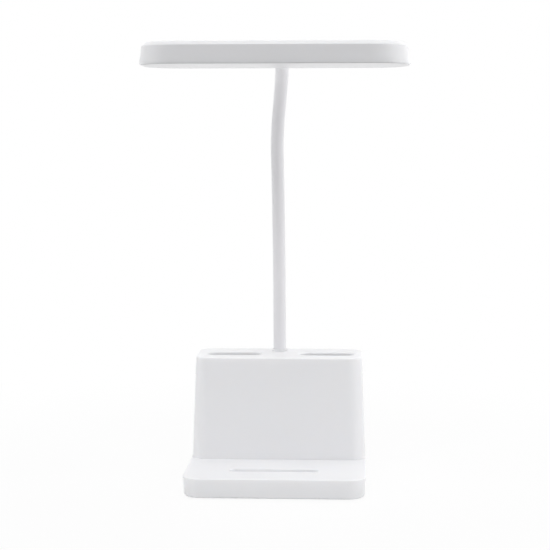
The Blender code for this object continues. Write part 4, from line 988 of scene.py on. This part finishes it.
class LAMP_OT_neck_coil(bpy.types.Operator):
    """Builds the wound steel core in lengths"""

    bl_idname = "lamp.neck_coil"
    bl_label = "Neck Coil"

    TURN = (1.0, 0.95, 0.86, 0.95)  # the sizes of the rings in one turn, from crest to crest

    def execute(self, context):
        line, neck = NeckLine(), context.scene.lamp_neck
        start, end = -neck.in_base, neck.length + neck.in_head
        for number, alongs in neck_lengths(neck, start, end, neck.coil_pitch / len(self.TURN)):
            sizes = [self.TURN[i % len(self.TURN)] for i in range(len(alongs))]
            coil = tube_along(f"coil_length_{number}", line, alongs, sizes, neck.coil_radius, sides=20)
            enter_edit(coil)
            pick(coil, "EDGE", lambda edge: edge.is_boundary)
            bpy.ops.mesh.fill_holes(sides=0)
            leave_edit()
            clean(coil)
            hand_over_length(coil, "Drawn steel", "bright_steel", "core", line, number)
        return {"FINISHED"}


def end_ring(name, neck, gap, foot):
    """A ring round the sleeve with a rounded outer edge; its foot reaches down to foot."""
    top = neck.collar_height
    ring = rod_start(name, neck.collar_radius, (0.0, 0.0, foot), (0.0, 0.0, top), sides=64)
    enter_edit(ring)
    round_edges(ring, level_edge(top), neck.collar_edge, segments=6)
    leave_edit()
    cut(ring, rod_start("ring bore", neck.sleeve_radius + gap, (0.0, 0.0, foot - OVERRUN),
                        (0.0, 0.0, top + OVERRUN), sides=64))
    return ring


class LAMP_OT_neck_rings(bpy.types.Operator):
    """Builds the two rings at the ends of the neck"""

    bl_idname = "lamp.neck_rings"
    bl_label = "Neck Rings"

    def execute(self, context):
        scene = context.scene
        neck, head, gap = scene.lamp_neck, scene.lamp_head, scene.lamp_fittings.gap
        lower = end_ring("lower_ring", neck, gap, -gap)
        put(lower, Matrix.Translation((neck.x, neck.y, scene.lamp_base.top + gap)))
        upper = end_ring("upper_ring", neck, gap, -OVERRUN)
        put(upper, facing_rear(0.0, 0.0, 0.0))
        rim, top = head_levels(head)[:2]
        draft = head.face_draft / head.face_height * (top - rim)
        cut(upper, head_box("ring foot", -gap, rim, top, draft=draft, steps=8))
        put(upper, head_place())
        for ring, end, body in ((lower, "lower", "base"), (upper, "upper", "head")):
            clean(ring)
            hand_over(ring, "White moulding", "white_moulding", body, f"neck_collar_{end}")
        return {"FINISHED"}


# The head


class LAMP_OT_head_shell(bpy.types.Operator):
    """Builds the lamp head's tray"""

    bl_idname = "lamp.head_shell"
    bl_label = "Head Shell"

    def execute(self, context):
        neck, head = context.scene.lamp_neck, context.scene.lamp_head
        rim, top, ceiling, _, diffuser_top = head_levels(head)
        slope, step = head.face_draft / head.face_height, rim + head.step_height
        shell = head_box("head_shell", slope * head.step_height, step, top, draft=slope * (top - step),
                         top_edge=head.bevel, edge_steps=1)
        enter_edit(shell)
        round_edges(shell, level_edge(top, top - head.bevel), head.bevel_round, segments=3)
        inset_and_push(shell, level_face(step, -1), head.step_depth, -head.step_height)
        leave_edit()
        inner = head.lip + head.wall
        cut(shell, head_box("diffuser seat", head.lip, rim - OVERRUN, diffuser_top + head.gap))
        cut(shell, head_box("head hollow", inner, diffuser_top, ceiling, top_edge=head.bevel / 2))
        cut(shell, rod_start("neck entry", neck.coil_radius + head.gap, (0.0, OVERRUN, 0.0),
                             (0.0, -inner - OVERRUN, 0.0)))
        put(shell, head_place())
        clean(shell)
        hand_over(shell, "White moulding", "white_moulding", "head", "head_housing")
        return {"FINISHED"}


class LAMP_OT_diffuser(bpy.types.Operator):
    """Builds the opal plate that closes the head's underside"""

    bl_idname = "lamp.diffuser"
    bl_label = "Diffuser"

    def execute(self, context):
        head = context.scene.lamp_head
        below, above = head_levels(head)[3:]
        plate = head_box("diffuser_plate", head.lip + head.gap, below, above,
                         bottom_edge=head.diffuser_edge)
        put(plate, head_place())
        hand_over(plate, "Opal diffuser", "opal_diffuser", "head", "diffuser")
        return {"FINISHED"}


# The stage


WHITE = (1.0, 1.0, 1.0, 1.0)
FLOOR_COLOUR = (0.88, 0.88, 0.88, 1.0)
FLOOR_SIZE, FLOOR_LEVEL = 6.0, -0.00005
SHADOW_REACH = (0.12, 0.45)  # the floor's shadow fades out between these distances from the lamp
WHITE_SHARE = 0.90  # how much of the floor under the lamp is plain white to the camera
WORLD_STRENGTH = 0.18
LAMP_MIDDLE, BASE_MIDDLE = (0.0, 0.0, 0.14), (0.0, 0.0, 0.05)
SOFT_LIGHTS = (  # name, place, width and height, power
    ("top_light", (0.0, 0.15, 0.90), (0.7, 0.7), 3.1),
    ("front_light", (0.0, -0.80, 1.05), (0.9, 0.7), 4.2),
    ("left_light", (-1.0, -0.10, 0.45), (0.7, 0.8), 2.8),
    ("right_light", (1.0, -0.10, 0.45), (0.7, 0.8), 4.1),
    ("rear_left_light", (-0.8, 0.80, 0.50), (0.7, 0.8), 1.1),
    ("rear_right_light", (0.8, 0.80, 0.50), (0.7, 0.8), 2.5),
)
BASE_BEAMS = (  # beams that light the base and pass under the head: name, place, power
    ("base_left_light", (-0.55, -1.0, 0.55), 6.6),
    ("base_right_light", (0.55, -1.0, 0.55), 4.8),
)
BEAM = {"spot_size": math.radians(15.0), "spot_blend": 0.4, "shadow_soft_size": 0.06}
CAMERA_PLACE = Vector((0.0563, -1.0772, 0.2529))
CAMERA_TARGET = Vector((-0.00122, -0.0030, 0.13956))
CAMERA_ROLL = math.radians(-0.11)
CAMERA_SETTINGS = {"sensor_width": 36.0, "lens": 107.35, "clip_start": 0.05}


def white_to_the_eye(tree, plain, white_kind, amount=None):
    """Mixes a plain shader with white light where the camera, a reflection or glass looks at it."""
    path = add_node(tree, "LightPath").outputs
    seen = path["Is Camera Ray"]
    for ray in ("Is Glossy Ray", "Is Transmission Ray"):
        seen = add_math(tree, "MAXIMUM", seen, path[ray])
    if amount is not None:
        seen = add_math(tree, "MULTIPLY", seen, amount)
    white = add_node(tree, white_kind, {"Color": WHITE}).outputs[0]
    return add_node(tree, "MixShader", {"Fac": seen, 1: plain, 2: white}).outputs[0]


def lay_floor():
    """A white floor that keeps the lamp's shadow and is plain white further out."""
    deselect_all()
    bpy.ops.mesh.primitive_plane_add(size=FLOOR_SIZE, location=(0.0, 0.0, FLOOR_LEVEL))
    floor = bpy.context.object
    floor.name = "floor"
    material = bpy.data.materials.new("Floor")
    material.use_nodes = True
    tree = material.node_tree
    shader = tree.nodes["Principled BSDF"]
    for key, value in {"Base Color": FLOOR_COLOUR, "Roughness": 0.9, "Specular IOR Level": 0.1}.items():
        shader.inputs[key].default_value = value
    place = add_node(tree, "TexCoord").outputs["Object"]
    distance = add_node(tree, "VectorMath", {0: place}, operation="LENGTH").outputs["Value"]
    whiteness = add_node(tree, "MapRange", {
        "Value": distance, "From Min": SHADOW_REACH[0], "From Max": SHADOW_REACH[1],
        "To Min": WHITE_SHARE, "To Max": 1.0}, interpolation_type="SMOOTHSTEP").outputs["Result"]
    seen = white_to_the_eye(tree, shader.outputs[0], "Emission", whiteness)
    tree.links.new(seen, tree.nodes["Material Output"].inputs["Surface"])
    material.cycles.emission_sampling = "NONE"
    floor.data.materials.append(material)


def light_world():
    world = bpy.data.worlds.new("Studio")
    world.use_nodes = True
    bpy.context.scene.world = world
    tree = world.node_tree
    plain = tree.nodes["Background"]
    plain.inputs["Color"].default_value = WHITE
    plain.inputs["Strength"].default_value = WORLD_STRENGTH
    seen = white_to_the_eye(tree, plain.outputs[0], "Background")
    tree.links.new(seen, tree.nodes["World Output"].inputs["Surface"])


def hang_light(kind, name, place, target, power, **settings):
    """A light of this kind at its place, shining at the target."""
    deselect_all()
    bpy.ops.object.light_add(type=kind, location=place)
    light = bpy.context.object
    light.name = name
    light.rotation_euler = (Vector(target) - Vector(place)).to_track_quat("-Z", "Y").to_euler()
    for key, value in {"energy": power, **settings}.items():
        setattr(light.data, key, value)


def set_camera():
    forward = (CAMERA_TARGET - CAMERA_PLACE).normalized()
    right = forward.cross(Vector((0.0, 0.0, 1.0))).normalized()
    turn = Matrix((right, right.cross(forward), -forward)).transposed().to_4x4()
    bpy.ops.object.camera_add()
    camera = bpy.context.object
    camera.name = "camera"
    camera.matrix_world = Matrix.Translation(CAMERA_PLACE) @ turn @ Matrix.Rotation(CAMERA_ROLL, 4, "Z")
    for key, value in CAMERA_SETTINGS.items():
        setattr(camera.data, key, value)
    bpy.context.scene.camera = camera


class LAMP_OT_stage(bpy.types.Operator):
    """Sets the floor, the lights and the camera"""

    bl_idname = "lamp.stage"
    bl_label = "Stage"

    def execute(self, context):
        lay_floor()
        light_world()
        for name, place, (width, height), power in SOFT_LIGHTS:
            hang_light("AREA", name, place, LAMP_MIDDLE, power, shape="RECTANGLE", size=width,
                       size_y=height)
        for name, place, power in BASE_BEAMS:
            hang_light("SPOT", name, place, BASE_MIDDLE, power, **BEAM)
        deselect_all()
        set_camera()
        context.scene.view_settings.view_transform = "Standard"
        return {"FINISHED"}


class VIEW3D_PT_lamp(bpy.types.Panel):
    bl_label = "LED Desk Lamp"
    bl_space_type = "VIEW_3D"
    bl_region_type = "UI"
    bl_category = "Desk Lamp"

    def draw(self, context):
        for operator in OPERATORS:
            self.layout.operator(operator.bl_idname)
        for group, title in GROUPS.items():
            box = self.layout.box()
            box.label(text=title)
            values = getattr(context.scene, group)
            for name in values.bl_rna.properties.keys():
                if name not in {"rna_type", "name"}:
                    box.prop(values, name)


OPERATORS = (LAMP_OT_finishes, LAMP_OT_base_shell, LAMP_OT_underside, LAMP_OT_rear_fittings,
             LAMP_OT_neck_sleeve, LAMP_OT_neck_coil, LAMP_OT_neck_rings, LAMP_OT_head_shell,
             LAMP_OT_diffuser, LAMP_OT_stage)
SETTINGS = (LampBaseSizes, LampWellSizes, LampFittingSizes, LampNeckSizes, LampHeadSizes, LampColours)
GROUPS = {"lamp_base": "Base", "lamp_wells": "Wells and groove", "lamp_fittings": "Fittings",
          "lamp_neck": "Neck", "lamp_head": "Head", "lamp_colours": "Colours"}


def register():
    for made in (*SETTINGS, *OPERATORS, VIEW3D_PT_lamp):
        bpy.utils.register_class(made)
    for group, kind in zip(GROUPS, SETTINGS):
        setattr(bpy.types.Scene, group, PointerProperty(type=kind))


def unregister():
    for group in GROUPS:
        delattr(bpy.types.Scene, group)
    for made in reversed((*SETTINGS, *OPERATORS, VIEW3D_PT_lamp)):
        bpy.utils.unregister_class(made)


def main():
    register()
    bpy.ops.lamp.finishes()
    bpy.ops.lamp.base_shell()
    bpy.ops.lamp.underside()
    bpy.ops.lamp.rear_fittings()
    bpy.ops.lamp.neck_sleeve()
    bpy.ops.lamp.neck_coil()
    bpy.ops.lamp.neck_rings()
    bpy.ops.lamp.head_shell()
    bpy.ops.lamp.diffuser()
    bpy.ops.lamp.stage()


if __name__ == "__main__":
    main()
